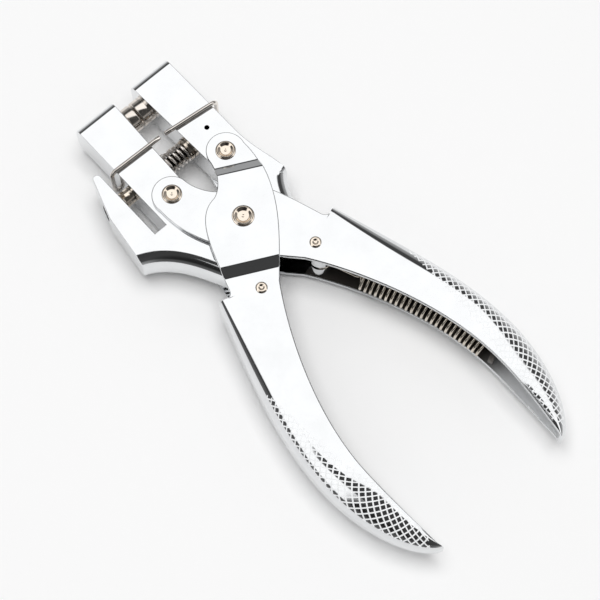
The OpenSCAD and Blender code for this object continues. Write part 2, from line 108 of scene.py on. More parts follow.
SHEET_T = 1.5
LAYER_GAP = 0.15
PLATE_Z = JAW_T / 2 + LAYER_GAP
PLATE_TOP = PLATE_Z + SHEET_T
PLATE_RISE = SHEET_T + LAYER_GAP
PLATE_END_R = 6
RAISED_HALF_L = 14.6
STEP_L = 2.9
HEAD_H = 0.8
RAISED_TOP = PLATE_TOP + PLATE_RISE
MID_Z = RAISED_TOP + HEAD_H
CENTRE_HEAD_R = 3.4
CENTRE_SHANK_R = 2.5
JAW_HEAD_R = 3.1
JAW_SHANK_R = 2.2
PIN_HEAD_R = 1.8
PIN_HEAD_H = 0.48
PIN_SHANK_R = 1.3
RUNNING_GAP = 0.08
DIE_Y = 50.2
DIE_R = 4.3
DIE_FACE = 0.25
DIE_SEAT = THROAT_HALF + (TIP_Y - DIE_Y) * RELIEF_SLOPE + 0.6
DIE_STEM_R = 2.5
DIE_STEM_L = 8
RIGHT_DISH = 0.8
LEFT_DISH = 1.2
POST_R = 1
GUIDE_Y = 31.2
GUIDE_R = 1.8
GUIDE_HEAD_R = 2.6
GUIDE_HEAD_H = 3.4
GUIDE_END = 14
SPRING_SEAT = THROAT_HALF + (TIP_Y - GUIDE_Y) * RELIEF_SLOPE + 0.55
SPRING_SEAT_R = 3.85
JAW_SPRING_R = 3
JAW_WIRE_R = 0.52
JAW_TURNS = 5
FLAT_TURN = 0.6
CAP_T = 1.6
CAP_LOW = SPRING_SEAT - LAYER_GAP - CAP_T
RETURN_SPRING_R = 3.55
RETURN_WIRE_R = 0.45
RETURN_TURNS = 24.5
SPRING_INSET = 2.2
COIL_FROM = 0.17
COIL_TO = 0.545
REAR_END_AT = 0.555
LEG_LEAD = 0.022
LEAD_IN = 0.014
END_TURN = 0.5
# Along Y, where the painted shade inside the channels starts and where it is full, round the spring
SHADE_FROM_Y = -88
SHADE_FULL_Y = -75
HOOK_PIN_R = 1
HOOK_EYE_R = HOOK_PIN_R + RETURN_WIRE_R + 0.45
STOP_WIRE_R = 0.7
STOP_Y = 37.1
LEFT_STOP_SLANT = math.radians(1.5)
RIGHT_STOP_SLANT = math.radians(-6.5)
STOP_GAP_HALF = 1.1
STOP_BEND_R = 1.6
STOP_BASE_X = JAW_OUTER + 1.6
STOP_LEG_Z = JAW_T / 2 + STOP_WIRE_R + 0.02
WIRE_END_DOME = 0.45

# Edges of the right grip, each two cubic curves from the plates to the tip
GRIP_SPLIT = 0.58
GRIP_TIP_TAPER = 0.6
GRIP_TIP_HALF_DEPTH = PLATE_TOP - 4
BEND_FULL_AT = 0.28
BEND_START_R = 2.3
GRIP_BEND_R = 5.3
BEND_MARGIN = 0.3
# Further on the bend spreads over the flange, as a crown
CROWN_FROM = 0.45
CROWN_FULL = 0.72
CROWN_SHARE = 0.86
# Largest share of the grip's width that the bend and the sheet take, and the least bend inside
BEND_SHARE = 0.78
WALL_SHARE = 0.72
LEAST_BEND_R = 0.25
GRIP_IN = (((5, -21.7), (14.9, -36.7), (25.2, -60), (25.7, -81)),
           ((25.7, -81), (25.9, -90), (25, -100), (24.2, -109.6)))
GRIP_OUT = (((22.8, -15), (30.1, -35.7), (37.6, -56), (37.6, -77)),
            ((37.6, -77), (37.6, -92), (31.5, -110), (23.6, -111.6)))

# Knurl: columns of points round the half skin, where the diamonds start, stop and may lie
KNURL_CELLS = 8
KNURL_COLUMNS = 70
KNURL_MARGIN = 0.5
KNURL_FACING = 0.6
KNURL_SHOULDER = 0.35
KNURL_SPREAD_AT = 0.62
PLAIN_TIP_L = 4
RIGHT_KNURL_FROM = -40
LEFT_KNURL_FROM = -45

# Steps and tolerances of the meshes
BEND_STEPS = 160
FINE_STATIONS = 1501
PLAIN_STEP = 1.2
INNER_COLUMNS = 10
RIM_STEPS = 3
NOSE_STEPS = 40
STEP_LOOPS = (-0.35, -0.15, 0.15, 0.35)
CORNER_SHARE = 0.45
COIL_STEPS = 28
RETURN_STEPS = 24
LEAD_STEPS = 10
STOP_STEPS = 8
AXIS_STEP = 0.01
NEAR = 0.1
TINY = 1e-6
# Finishes of a handle's faces
SKIN, LINE, INSIDE, EDGE = range(4)

MIRROR_X = Matrix.Scale(-1, 4, (1, 0, 0))
MIRROR_Z = Matrix.Scale(-1, 4, (0, 0, 1))
AXIS_TO_X = Matrix.Rotation(math.radians(90), 4, "Y")

# Depth of the marks in the metal, and how dark the painted shade round the spring is beside the near-black
# painted shade colour
MARK_H = 0.02
SHADE_TONE = 0.5
# Tent and gap: limits of slopes across and along the tool, the first where each has no part in it
HORIZON = 0.02
SIDE_LEAN = 0.5
END_LEAN = 0.7
TENT_RIGHT = (0.85, 0.66)
TENT_LEFT = (-3.2, -2.2)
TENT_FRONT = (0.95, 0.75)
TENT_REAR = (-3, -2)
GAP_RIGHT = (0.19, 0.13)
GAP_LEFT = (-0.5, -0.4)
GAP_NOTCH = (0.02, -0.08)
GAP_FRONT = (0.24, 0.2)
GAP_CORNER = (0.33, 0.29)
# Grey of the room by height over the horizon, and its share on the left
ROOM_HEIGHTS = (0, 0.15, 0.38, 0.5, 1)
ROOM_LEVELS = (0.55, 0.38, 0.26, 0.07, 0.05)
ROOM_SIDE = (-0.7, -0.3)
LEFT_SHARE = 0.3
# Stage, in metres, and the camera's sensor in millimetres
FLOOR_HALF = 2
LAMP_D = 1
LAMP_H = 1.3
CAMERA_AT = (-0.1329, -0.1718, 0.5357)
CAMERA_TARGET = (-0.00306, -0.02849, 0.0101)
CLIP_START = 0.01
SENSOR_W = 36


def length_setting(name, description, default):
    """Setting for a small length, given in millimetres."""
    return FloatProperty(name=name, description=description, default=default * MM, unit="LENGTH", precision=5)


def colour_setting(name, description, default):
    """Setting for a colour."""
    return FloatVectorProperty(name=name, description=description, default=default, subtype="COLOR",
                               size=3, min=0, max=1)


class PlierSizes(bpy.types.PropertyGroup):
    """Small sizes of the dressed pieces."""
    sheet_edge: length_setting("Sheet edge", "Radius along the cut edges of the handle sheet", 0.3)
    jaw_edge: length_setting("Jaw edge", "Radius along the crisp edges of the jaws", 0.2)
    knurl_pitch: length_setting("Knurl pitch", "Length of one diamond of the knurl along the grip", 2.35)
    knurl_depth: length_setting("Knurl depth", "Depth of the knurl's grooves", 0.03)


class PlierFinish(bpy.types.PropertyGroup):
    """Colours of the metals, and the near-black colour painted as shade."""
    plating: colour_setting("Plating", "Bright plate on the handles and jaws", (0.78, 0.79, 0.80))
    nickel: colour_setting("Nickel", "Warm plate on the rivets, pins and bolt", (0.86, 0.76, 0.65))
    die_steel: colour_setting("Die steel", "Turned steel of the dies", (0.80, 0.74, 0.68))
    bright_wire: colour_setting("Bright wire", "Plated wire of the stops and the jaw spring",
                                (0.86, 0.81, 0.76))
    wire: colour_setting("Spring wire", "Drawn wire of the long spring", (0.70, 0.64, 0.56))
    # Near-black colour painted as shade in the oil hole, on the bolt's shank, on the spring's anchor and
    # round the spring inside the channels
    bare_steel: colour_setting("Bare steel", "Oiled steel of the oil hole, the bolt's shank and the anchor",
                               (0.10, 0.09, 0.08))


class PlierStage(bpy.types.PropertyGroup):
    """Floor, light and camera."""
    floor: colour_setting("Floor", "Colour of the pale floor", (0.96, 0.96, 0.96))
    lamp_power: FloatProperty(name="Lamp", description="Power of the wide lamp over the tool", default=11.9,
                              unit="POWER")
    sky: FloatProperty(name="Sky", description="Brightness of the even light all round", default=0.38, min=0)
    panel: FloatProperty(name="Panel", description="Brightness of the white tent that the polish mirrors",
                         default=1.28, min=0)
    lens: FloatProperty(name="Lens", description="Focal length of the camera, in millimetres", default=113.1,
                        subtype="DISTANCE_CAMERA")


def cubic(points, t):
    """Point on a cubic curve with four control points."""
    a, b, c, d = (np.array(p, float) for p in points)
    s = 1 - t
    return s ** 3 * a + 3 * t * s * s * b + 3 * t * t * s * c + t ** 3 * d


def curve(points, steps):
    """Points along a cubic curve, without its last one."""
    return [cubic(points, k / steps) for k in range(steps)]


def arc(centre, radius, start, end, steps):
    """Points along an arc between two angles in degrees, without the last one."""
    angles = [math.radians(start + (end - start) * k / steps) for k in range(steps)]
    return [np.array(centre) + radius * np.array((math.cos(a), math.sin(a))) for a in angles]


def rounded(profile, radius, steps=4):
    """Profile with each inner corner turned into a short curve, smaller where its sides are short."""
    points = [np.array(p, float) for p in profile]
    result = [points[0]]
    for before, corner, after in zip(points, points[1:], points[2:]):
        back = before - corner
        on = after - corner
        reach = min(radius, CORNER_SHARE * np.linalg.norm(back), CORNER_SHARE * np.linalg.norm(on))
        start = corner + back / np.linalg.norm(back) * reach
        end = corner + on / np.linalg.norm(on) * reach
        for k in range(steps + 1):
            t = k / steps
            result.append((1 - t) ** 2 * start + 2 * t * (1 - t) * corner + t * t * end)
    result.append(points[-1])
    return result


def joined(*parts):
    """One list of points and one of faces from several."""
    points = []
    faces = []
    for part_points, part_faces in parts:
        base = len(points)
        points += [tuple(p) for p in part_points]
        faces += [[base + i for i in face] for face in part_faces]
    return points, faces


def moved(part, matrix):
    """Part with its points moved by a matrix; a mirror also turns its faces round."""
    points, faces = part
    points = [tuple(matrix @ Vector(p)) for p in points]
    if matrix.determinant() < 0:
        faces = [list(reversed(face)) for face in faces]
    return points, faces


def shifted(part, x, y):
    """Part moved along the tool's middle plane."""
    return moved(part, Matrix.Translation((x, y, 0)))


def along_x(part, y):
    """Part revolved about Z, laid along X at height y along the tool."""
    return moved(part, Matrix.Translation((0, y, 0)) @ AXIS_TO_X)


def revolved(profile, sides=64):
    """Surface of a profile of radius and height turned about Z, from its lower end up its outside."""
    points = []
    rows = []
    for radius, height in profile:
        count = sides if radius > TINY else 1
        rows.append([len(points) + k for k in range(count)])
        for k in range(count):
            a = 2 * math.pi * k / sides
            points.append((radius * math.cos(a), radius * math.sin(a), height))
    faces = []
    for low, high in zip(rows, rows[1:]):
        for k in range(sides):
            m = k + 1
            corners = [low[k % len(low)], low[m % len(low)], high[m % len(high)], high[k % len(high)]]
            faces.append(list(dict.fromkeys(corners)))
    return points, faces


def rod(radius, low, high, sides=48):
    """Plain round solid about Z, used to cut holes."""
    return revolved([(0, low), (radius, low), (radius, high), (0, high)], sides)


def wire(path, radius, sides=12, dome_steps=3):
    """Round wire along a path of points, with domed ends."""
    path = np.array(path, float)
    headings = np.gradient(path, axis=0)
    headings /= np.linalg.norm(headings, axis=1)[:, None]
    side = np.cross(headings[0], (0, 0, 1) if abs(headings[0][2]) < 0.9 else (1, 0, 0))
    dome = [math.pi / 2 * k / dome_steps for k in range(1, dome_steps + 1)]
    dome_h = WIRE_END_DOME * radius
    stations = [(path[0] - headings[0] * dome_h * math.sin(a), headings[0], radius * math.cos(a))
                for a in reversed(dome[:-1])]
    stations += [(p, h, radius) for p, h in zip(path, headings)]
    stations += [(path[-1] + headings[-1] * dome_h * math.sin(a), headings[-1], radius * math.cos(a))
                 for a in dome[:-1]]
    points = []
    for centre, heading, r in stations:
        side = side - np.dot(side, heading) * heading
        side /= np.linalg.norm(side)
        other = np.cross(heading, side)
        for k in range(sides):
            a = 2 * math.pi * k / sides
            points.append(centre + r * (math.cos(a) * side + math.sin(a) * other))
    faces = []
    last = len(points) - sides
    for row in range(0, last, sides):
        for i in range(sides):
            m = (i + 1) % sides
            faces.append([row + i, row + m, row + sides + m, row + sides + i])
    faces += [list(reversed(range(sides))), list(range(last, last + sides))]
    return points, faces


def prism(outline, low, high):
    """Closed solid over an outline as an editable mesh."""
    solid = bmesh.new()
    bottom = [solid.verts.new((p[0], p[1], low)) for p in outline]
    top = [solid.verts.new((p[0], p[1], high)) for p in outline]
    solid.faces.new(top)
    solid.faces.new(list(reversed(bottom)))
    for k in range(len(outline)):
        m = (k + 1) % len(outline)
        solid.faces.new((bottom[k], bottom[m], top[m], top[k]))
    bmesh.ops.recalc_face_normals(solid, faces=solid.faces)
    return solid


def box_cutter(corner, far_corner, low, high):
    """Rectangular cutter between two corners and two heights."""
    (x, y), (far_x, far_y) = corner, far_corner
    return as_part(prism([(x, y), (far_x, y), (far_x, far_y), (x, far_y)], low, high))


def is_level(edge):
    """Whether an edge of an editable mesh lies flat."""
    return abs(edge.verts[0].co.z - edge.verts[1].co.z) < TINY


def soften(solid, edges, radius, segments):
    """Rounds the named edges of an editable mesh."""
    bmesh.ops.bevel(solid, geom=edges, offset=radius, offset_type="OFFSET", segments=segments,
                    profile=0.5, affect="EDGES", clamp_overlap=False)


def as_part(solid):
    """Points and faces of an editable mesh, which is then freed."""
    solid.verts.index_update()
    part = [tuple(v.co) for v in solid.verts], [[v.index for v in f.verts] for f in solid.faces]
    solid.free()
    return part


def as_mesh(name, part):
    """Blender mesh from points and faces."""
    mesh = bpy.data.meshes.new(name)
    mesh.from_pydata(part[0], [], part[1])
    return mesh


def cut(part, cutters):
    """Part with round and flat cutters taken away from it."""
    work = bpy.data.objects.new("work", as_mesh("work", part))
    bpy.context.scene.collection.objects.link(work)
    tools = []
    for cutter in cutters:
        tool = bpy.data.objects.new("cutter", as_mesh("cutter", cutter))
        bpy.context.scene.collection.objects.link(tool)
        tools.append(tool)
        step = work.modifiers.new("Cut", "BOOLEAN")
        step.object = tool
        step.operation = "DIFFERENCE"
        step.solver = "EXACT"
    bpy.context.view_layer.update()
    state = bpy.context.evaluated_depsgraph_get()
    result = bpy.data.meshes.new_from_object(work.evaluated_get(state))
    part = [tuple(v.co) for v in result.vertices], [list(f.vertices) for f in result.polygons]
    bpy.data.meshes.remove(result)
    for thing in [work] + tools:
        mesh = thing.data
        bpy.data.objects.remove(thing)
        bpy.data.meshes.remove(mesh)
    return part


def mark_borders(mesh, kinds):
    """Makes the edges between faces of different finish crisp."""
    found = {}
    for face, kind in zip(mesh.polygons, kinds):
        for key in face.edge_keys:
            found.setdefault(key, set()).add(kind)
    for edge in mesh.edges:
        if len(found[edge.key]) > 1:
            edge.use_edge_sharp = True


def placed(name, part, finishes, nodes, sharp=35, weighted=False, kinds=None):
    """Object made from a part in millimetres about the middle plane, which stands for its solid nodes."""
    mesh = as_mesh(name, part)
    mesh.transform(Matrix.Scale(MM, 4) @ Matrix.Translation((0, 0, MID_Z)))
    mesh.shade_smooth()
    mesh.set_sharp_from_angle(angle=math.radians(sharp))
    for finish in finishes:
        mesh.materials.append(finish)
    if kinds:
        mesh.polygons.foreach_set("material_index", kinds)
        mark_borders(mesh, kinds)
    piece = bpy.data.objects.new(name, mesh)
    bpy.context.scene.collection.objects.link(piece)
    if weighted:
        flat = piece.modifiers.new("Flat faces", "WEIGHTED_NORMAL")
        flat.keep_sharp = True
        flat.weight = 100
    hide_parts(*nodes)
    return piece


def set_inputs(tree, node, inputs):
    """Gives each named input of a node a value, or a link where a socket is given."""
    for key, value in inputs.items():
        if isinstance(value, bpy.types.NodeSocket):
            tree.links.new(value, node.inputs[key])
        else:
            node.inputs[key].default_value = value


def outputs_of(tree, kind, inputs, **settings):
    """Outputs of a new node with these inputs and settings."""
    node = tree.nodes.new(kind)
    for key, value in settings.items():
        setattr(node, key, value)
    set_inputs(tree, node, inputs)
    return node.outputs


def calculated(tree, operation, *terms, clamp=False):
    """Result of one step of arithmetic on sockets and numbers."""
    inputs = dict(enumerate(terms))
    return outputs_of(tree, "ShaderNodeMath", inputs, operation=operation, use_clamp=clamp)["Value"]


def step_between(tree, value, zero_at, one_at, kind="SMOOTHSTEP"):
    """Step of a value from nought at one limit to one at the other."""
    limits = {"Value": value, "From Min": zero_at, "From Max": one_at}
    return outputs_of(tree, "ShaderNodeMapRange", limits, interpolation_type=kind)["Result"]


def mixed(tree, share, first, second):
    """Colour between two others."""
    inputs = {"Factor": share, "A": first, "B": second}
    return outputs_of(tree, "ShaderNodeMix", inputs, data_type="RGBA")["Result"]


def place_parts(tree, kind):
    """The three parts of a place or direction, in one kind of coordinates."""
    place = outputs_of(tree, "ShaderNodeTexCoord", {})[kind]
    return outputs_of(tree, "ShaderNodeSeparateXYZ", {"Vector": place})


def metal_marks():
    """Shader group: haze, hairline scratches and fine unevenness of plated metal."""
    name = "Metal marks"
    if name in bpy.data.node_groups:
        return bpy.data.node_groups[name]
    tree = bpy.data.node_groups.new(name, "ShaderNodeTree")
    for direction, kind, keys in (("INPUT", "NodeSocketVector", ["Place"]),
                                  ("INPUT", "NodeSocketFloat", ["Smooth", "Hazy"]),
                                  ("OUTPUT", "NodeSocketFloat", ["Stain", "Roughness", "Height"])):
        for key in keys:
            tree.interface.new_socket(name=key, in_out=direction, socket_type=kind)
    start = outputs_of(tree, "NodeGroupInput", {})
    place = start["Place"]
    haze = outputs_of(tree, "ShaderNodeTexNoise", {"Vector": place, "Scale": 140, "Detail": 4})["Fac"]
    along = outputs_of(tree, "ShaderNodeMapping",
                       {"Vector": place, "Rotation": (0, 0, 0.6), "Scale": (40, 2600, 900)})["Vector"]
    lines = outputs_of(tree, "ShaderNodeTexNoise", {"Vector": along, "Scale": 1, "Detail": 2})["Fac"]
    grain = outputs_of(tree, "ShaderNodeTexNoise", {"Vector": place, "Scale": 1500})["Fac"]
    scratch = step_between(tree, lines, 0.62, 0.74, "LINEAR")
    patch = step_between(tree, haze, 0.35, 0.75, "LINEAR")
    worn = calculated(tree, "MULTIPLY_ADD", scratch, 0.35, patch, clamp=True)
    rough = outputs_of(tree, "ShaderNodeMapRange",
                       {"Value": worn, "To Min": start["Smooth"], "To Max": start["Hazy"]})["Result"]
    height = calculated(tree, "MULTIPLY_ADD", scratch, -0.5, grain)
    outputs_of(tree, "NodeGroupOutput", {"Stain": patch, "Roughness": rough, "Height": height})
    return tree


def shaded(colour, share):
    """Opaque colour at a share of another's brightness."""
    return (*(c * share for c in colour), 1)


def metal(name, setting, tones, rough, relief, metallic=1):
    """Metal from a set colour; its tone, roughness and relief vary with the marks between two limits each."""
    if name in bpy.data.materials:
        return bpy.data.materials[name]
    material = bpy.data.materials.new(name)
    material.use_nodes = True
    tree = material.node_tree
    place = outputs_of(tree, "ShaderNodeTexCoord", {})["Object"]
    marks = outputs_of(tree, "ShaderNodeGroup", {"Place": place, "Smooth": rough[0], "Hazy": rough[1]},
                       node_tree=metal_marks())
    colour = getattr(bpy.context.scene.plier_finish, setting)
    tone = mixed(tree, marks["Stain"], *(shaded(colour, share) for share in tones))
    bump = outputs_of(tree, "ShaderNodeBump",
                      {"Strength": relief, "Distance": MARK_H * MM, "Height": marks["Height"]})["Normal"]
    set_inputs(tree, tree.nodes["Principled BSDF"],
               {"Metallic": metallic, "Base Color": tone, "Roughness": marks["Roughness"], "Normal": bump})
    return material


def plated_sheet():
    """Bright plated sheet of the handles."""
    return metal("Plated sheet", "plating", tones=(1, 0.95), rough=(0.05, 0.1), relief=0.1)


def knurl_lines():
    """Matt plate in the grooves of the knurl, paler than the skin as a painted highlight along the grooves.
    """
    return metal("Knurl lines", "plating", tones=(1.25, 1.2), rough=(0.4, 0.55), relief=0.3, metallic=0.1)


def satin_sheet_painted_light():
    """Satin plate inside the channels, made paler than the plating as painted bounce light, with painted
    shade round the spring that clears towards the tips.
    """
    name = "Satin sheet"
    if name in bpy.data.materials:
        return bpy.data.materials[name]
    finish = metal(name, "plating", tones=(1.12, 0.98), rough=(0.3, 0.45), relief=0.25, metallic=0.4)
    tree = finish.node_tree
    base = tree.nodes["Principled BSDF"].inputs["Base Color"]
    # The dark colour named oil here is painted shade round the spring
    oil = shaded(bpy.context.scene.plier_finish.bare_steel, SHADE_TONE)
    shade_share = step_between(tree, place_parts(tree, "Object")["Y"], SHADE_FROM_Y * MM, SHADE_FULL_Y * MM)
    tree.links.new(mixed(tree, shade_share, base.links[0].from_socket, oil), base)
    return finish


def cut_edge():
    """Duller plate along the sheared edges of the sheet, also a little darker as painted shade on the rims.
    """
    return metal("Cut edge", "plating", tones=(0.9, 0.75), rough=(0.2, 0.35), relief=0.3)


def plated_jaw():
    """Bright plated solid steel of the jaws."""
    return metal("Plated jaw", "plating", tones=(1, 0.96), rough=(0.05, 0.11), relief=0.1)


def warm_nickel():
    """Warm nickel plate of the rivets, pins and bolt."""
    return metal("Warm nickel", "nickel", tones=(1, 0.85), rough=(0.1, 0.22), relief=0.25)


def turned_steel():
    """Turned steel of the dies."""
    return metal("Turned steel", "die_steel", tones=(1, 0.88), rough=(0.08, 0.18), relief=0.2)


def bright_wire():
    """Plated wire of the stops and the jaw spring."""
    return metal("Bright wire", "bright_wire", tones=(1, 0.9), rough=(0.07, 0.15), relief=0.12)


def drawn_wire():
    """Drawn wire of the long spring."""
    return metal("Drawn wire", "wire", tones=(1, 0.75), rough=(0.16, 0.3), relief=0.25)


def bare_steel():
    """Near-black colour painted as shade in the oil hole, on the bolt's shank and on the spring's anchor."""
    # The near-black colour stands for shade, not for bare steel
    return metal("Bare steel", "bare_steel", tones=(1, 0.6), rough=(0.35, 0.55), relief=0.3)


def grip_point(edge, t):
    """Point on an edge of the right grip at station t."""
    if t < GRIP_SPLIT:
        return cubic(edge[0], t / GRIP_SPLIT)
    return cubic(edge[1], (t - GRIP_SPLIT) / (1 - GRIP_SPLIT))


def grip_frame(t):
    """Start, direction across, width, half depth, and height and breadth of the bend, at station t."""
    start = grip_point(GRIP_IN, t)
    across = grip_point(GRIP_OUT, t) - start
    width = np.linalg.norm(across)
    taper = max(0, (t - GRIP_TIP_TAPER) / (1 - GRIP_TIP_TAPER))
    depth = GRIP_TIP_HALF_DEPTH + (PLATE_TOP - GRIP_TIP_HALF_DEPTH) * math.cos(math.pi / 2 * taper)
    bend = BEND_START_R + (GRIP_BEND_R - BEND_START_R) * math.sin(math.pi / 2 * min(1, t / BEND_FULL_AT))
    bend = min(bend, BEND_SHARE * width, depth - BEND_MARGIN)
    share = min(1, max(0, (t - CROWN_FROM) / (CROWN_FULL - CROWN_FROM)))
    crown = bend + (CROWN_SHARE * width - bend) * share * share * (3 - 2 * share)
    return start, across / width, width, depth, bend, max(bend, crown)


def half_skin(width, depth, bend, crown, edge):
    """Half of a channel skin, from the spine's middle to its free edge: lengths, places and directions."""
    turn = np.linspace(0, math.pi / 2, BEND_STEPS)
    across = np.concatenate(([width], width - crown + crown * np.cos(turn), [edge]))
    up = np.concatenate(([0], depth - bend + bend * np.sin(turn), [depth]))
    out = np.column_stack((np.concatenate(([1], bend * np.cos(turn), [0])),
                           np.concatenate(([0], crown * np.sin(turn), [1]))))
    out /= np.linalg.norm(out, axis=1)[:, None]
    length = np.concatenate(([0], np.cumsum(np.hypot(np.diff(across), np.diff(up)))))
    return length, across, up, out[:, 0], out[:, 1]


def skin_point(skin, reach):
    """Place on a channel skin and its outward direction, at a distance round it from the spine's middle."""
    length, *rows = skin
    side = 1 if reach < 0 else -1
    p, z, out_p, out_z = (float(np.interp(abs(reach), length, row)) for row in rows)
    return (p, side * z), (out_p, side * out_z)


def grip_stations(step, knurl_from):
    """Stations of the rings along the grip, in even steps in the knurl, and how many come before it."""
    fine = np.linspace(0, 1, FINE_STATIONS)
    middle = np.array([(grip_point(GRIP_IN, t) + grip_point(GRIP_OUT, t)) / 2 for t in fine])
    length = np.concatenate(([0], np.cumsum(np.linalg.norm(np.diff(middle, axis=0), axis=1))))
    outer_y = np.array([grip_point(GRIP_OUT, t)[1] for t in fine])
    knurl_at = length[np.argmax(outer_y < knurl_from)]
    plain = int(knurl_at / PLAIN_STEP)
    before = np.linspace(0, knurl_at, plain, endpoint=False)
    knurled = np.arange(knurl_at, length[-1] - step / 2, step)
    return np.interp(np.concatenate((before, knurled, [length[-1]])), length, fine), plain


def column_reaches(half, step):
    """Distances of the columns round the skin: even steps, and those past the margin packed into it."""
    whole = min(KNURL_COLUMNS - 1, int((half - KNURL_MARGIN) / step))
    rest = (half - whole * step) / (KNURL_COLUMNS - whole)
    reaches = []
    for j in range(-KNURL_COLUMNS, KNURL_COLUMNS + 1):
        n = abs(j)
        distance = n * step if n <= whole else whole * step + (n - whole) * rest
        reaches.append(math.copysign(distance, j) if j else 0)
    return reaches


def knurl_edge(progress, width, bend):
    """Place across the grip where the knurl ends: on the bend at first, at the free edge further on."""
    return (width - KNURL_SHOULDER * bend) * max(0, 1 - progress / KNURL_SPREAD_AT)


def rim_points(depth, wall, edge, side):
    """Rounded free edge of the sheet, from its outer face to its inner face."""
    outer = [(edge - edge * math.sin(a), depth - edge + edge * math.cos(a))
             for a in np.linspace(0, math.pi / 2, RIM_STEPS + 1)[1:]]
    inner = [(p, 2 * depth - wall - z) for p, z in reversed(outer)]
    return [(p, side * z) for p, z in outer + inner]


def grip_channel(sizes, knurl_from):
    """Channel of the right grip and its faces' finishes: knurled skin, rounded rims and plain inside."""
    edge = sizes.sheet_edge / MM
    step = sizes.knurl_pitch / MM / KNURL_CELLS
    depth_of_groove = sizes.knurl_depth / MM
    stations, plain = grip_stations(step, knurl_from)
    knurl_end = len(stations) - int(PLAIN_TIP_L / step)
    outer_count = 2 * KNURL_COLUMNS + 1
    rings = []
    grooved = set()
    for k, t in enumerate(stations):
        start, across, width, depth, bend, crown = grip_frame(t)
        wall = min(SHEET_T, WALL_SHARE * width)
        progress = max(0, k - plain) / (len(stations) - plain)
        limit = knurl_edge(progress, width, bend)
        section = []
        skin = half_skin(width, depth, bend, crown, edge)
        for column, reach in enumerate(column_reaches(skin[0][-1], step)):
            (p, z), out = skin_point(skin, reach)
            j = column - KNURL_COLUMNS
            in_rows = plain < k < knurl_end and p > max(limit, KNURL_MARGIN)
            on_line = (k + j) % KNURL_CELLS == 0 or (k - j) % KNURL_CELLS == 0
            if in_rows and on_line and abs(out[1]) > KNURL_FACING:
                grooved.add((k, column))
                p -= depth_of_groove * out[0]
                z -= depth_of_groove * out[1]
            section.append((p, z))
        section += rim_points(depth, wall, edge, -1)
        inside = half_skin(width - wall, depth - wall, max(bend - wall, LEAST_BEND_R),
                           max(crown - wall, LEAST_BEND_R), edge)
        for j in range(INNER_COLUMNS, -INNER_COLUMNS - 1, -1):
            section.append(skin_point(inside, inside[0][-1] * j / INNER_COLUMNS)[0])
        section += list(reversed(rim_points(depth, wall, edge, 1)))
        rings.append([(start[0] + p * across[0], start[1] + p * across[1], z) for p, z in section])
    return channel_faces(rings, outer_count, grooved)


def split_quad(quad, low):
    """Faces of a quad with their finishes; the corners in low lie in a groove, whose walls are kept flat."""
    if not low:
        return [(quad, SKIN)]
    a, b, c, d = quad[low[0]:] + quad[:low[0]]
    if len(low) == 1:
        return [([a, b, d], LINE), ([b, c, d], SKIN)]
    return [([a, b, c], LINE), ([a, c, d], LINE)]


def channel_faces(rings, outer_count, grooved):
    """Channel through the rings, split along the grooves and closed at both ends, and its finishes."""
    count = len(rings[0])
    inner_from = outer_count + 2 * RIM_STEPS
    inner_count = 2 * INNER_COLUMNS + 1
    made = []
    for k in range(len(rings) - 1):
        for i in range(count):
            m = (i + 1) % count
            corners = [(k, i), (k, m), (k + 1, m), (k + 1, i)]
            quad = [row * count + column for row, column in corners]
            if inner_from <= i < inner_from + inner_count - 1:
                made.append((quad, INSIDE))
            elif i >= outer_count - 1:
                made.append((quad, EDGE))
            else:
                made += split_quad(quad, [n for n in range(4) if corners[n] in grooved])
    ratio = (outer_count - 1) // (inner_count - 1)
    for base, flip in ((0, True), ((len(rings) - 1) * count, False)):
        ends = [list(range(outer_count - 1, inner_from + 1)),
                list(range(inner_from + inner_count - 1, count)) + [0]]
        for n in range(inner_count - 1):
            outer = list(range(n * ratio, (n + 1) * ratio + 1))
            inner = [inner_from + inner_count - 2 - n, inner_from + inner_count - 1 - n]
            ends.append(outer + inner)
        for end in ends:
            face = [base + i for i in end]
            made.append((list(reversed(face)) if flip else face, SKIN))
    points = [p for ring in rings for p in ring]
    return (points, [face for face, kind in made]), [kind for face, kind in made]


def plate_outline():
    """Outline of the right handle's plates, from the grip's inner edge round to the shoulder."""
    grip_start = np.array(GRIP_IN[0][0], float)
    across = np.array(GRIP_OUT[0][0], float) - grip_start
    width = np.linalg.norm(across)
    shoulder = grip_start + across / width * (width - BEND_START_R)
    end = np.array((-PIVOT_X, PIVOT_Y))
    left = np.array((-PLATE_END_R, -1.6))
    right = np.array((PLATE_END_R - 0.1, 0.5))
    hub_top = np.array((2.6, 10.2))
    waist = np.array((18.2, -14.2))
    first = math.atan2(left[1], left[0]) + 2 * math.pi
    last = math.atan2(right[1], right[0])
    outline = curve((grip_start, (-5.2, -10.5), (-16.9, 1), end + left), 28)
    for share in np.linspace(0, 1, NOSE_STEPS, endpoint=False):
        a = first + (last - first) * share
        radius = np.linalg.norm(left) * (1 - share) + np.linalg.norm(right) * share
        outline.append(end + radius * np.array((math.cos(a), math.sin(a))))
    outline += curve((end + right, end + right + (0.6, -4.1), hub_top + (-3.8, 1.2), hub_top), 20)
    outline += curve((hub_top, (10.2, 9.3), (13.2, 1.5), waist), 24)
    outline += curve((waist, waist + (0.3, -1.2), shoulder + (-1, -0.4), shoulder), 8)
    outline.append(shoulder)
    return outline


def plate_rise(along):
    """Height of a stepped plate over its ends, at a distance along it from the centre rivet."""
    softening = np.linspace(STEP_LOOPS[0], STEP_LOOPS[-1], 9)
    shares = np.clip((RAISED_HALF_L + STEP_L - abs(along) + softening) / STEP_L, 0, 1)
    return PLATE_RISE * float(shares.mean())


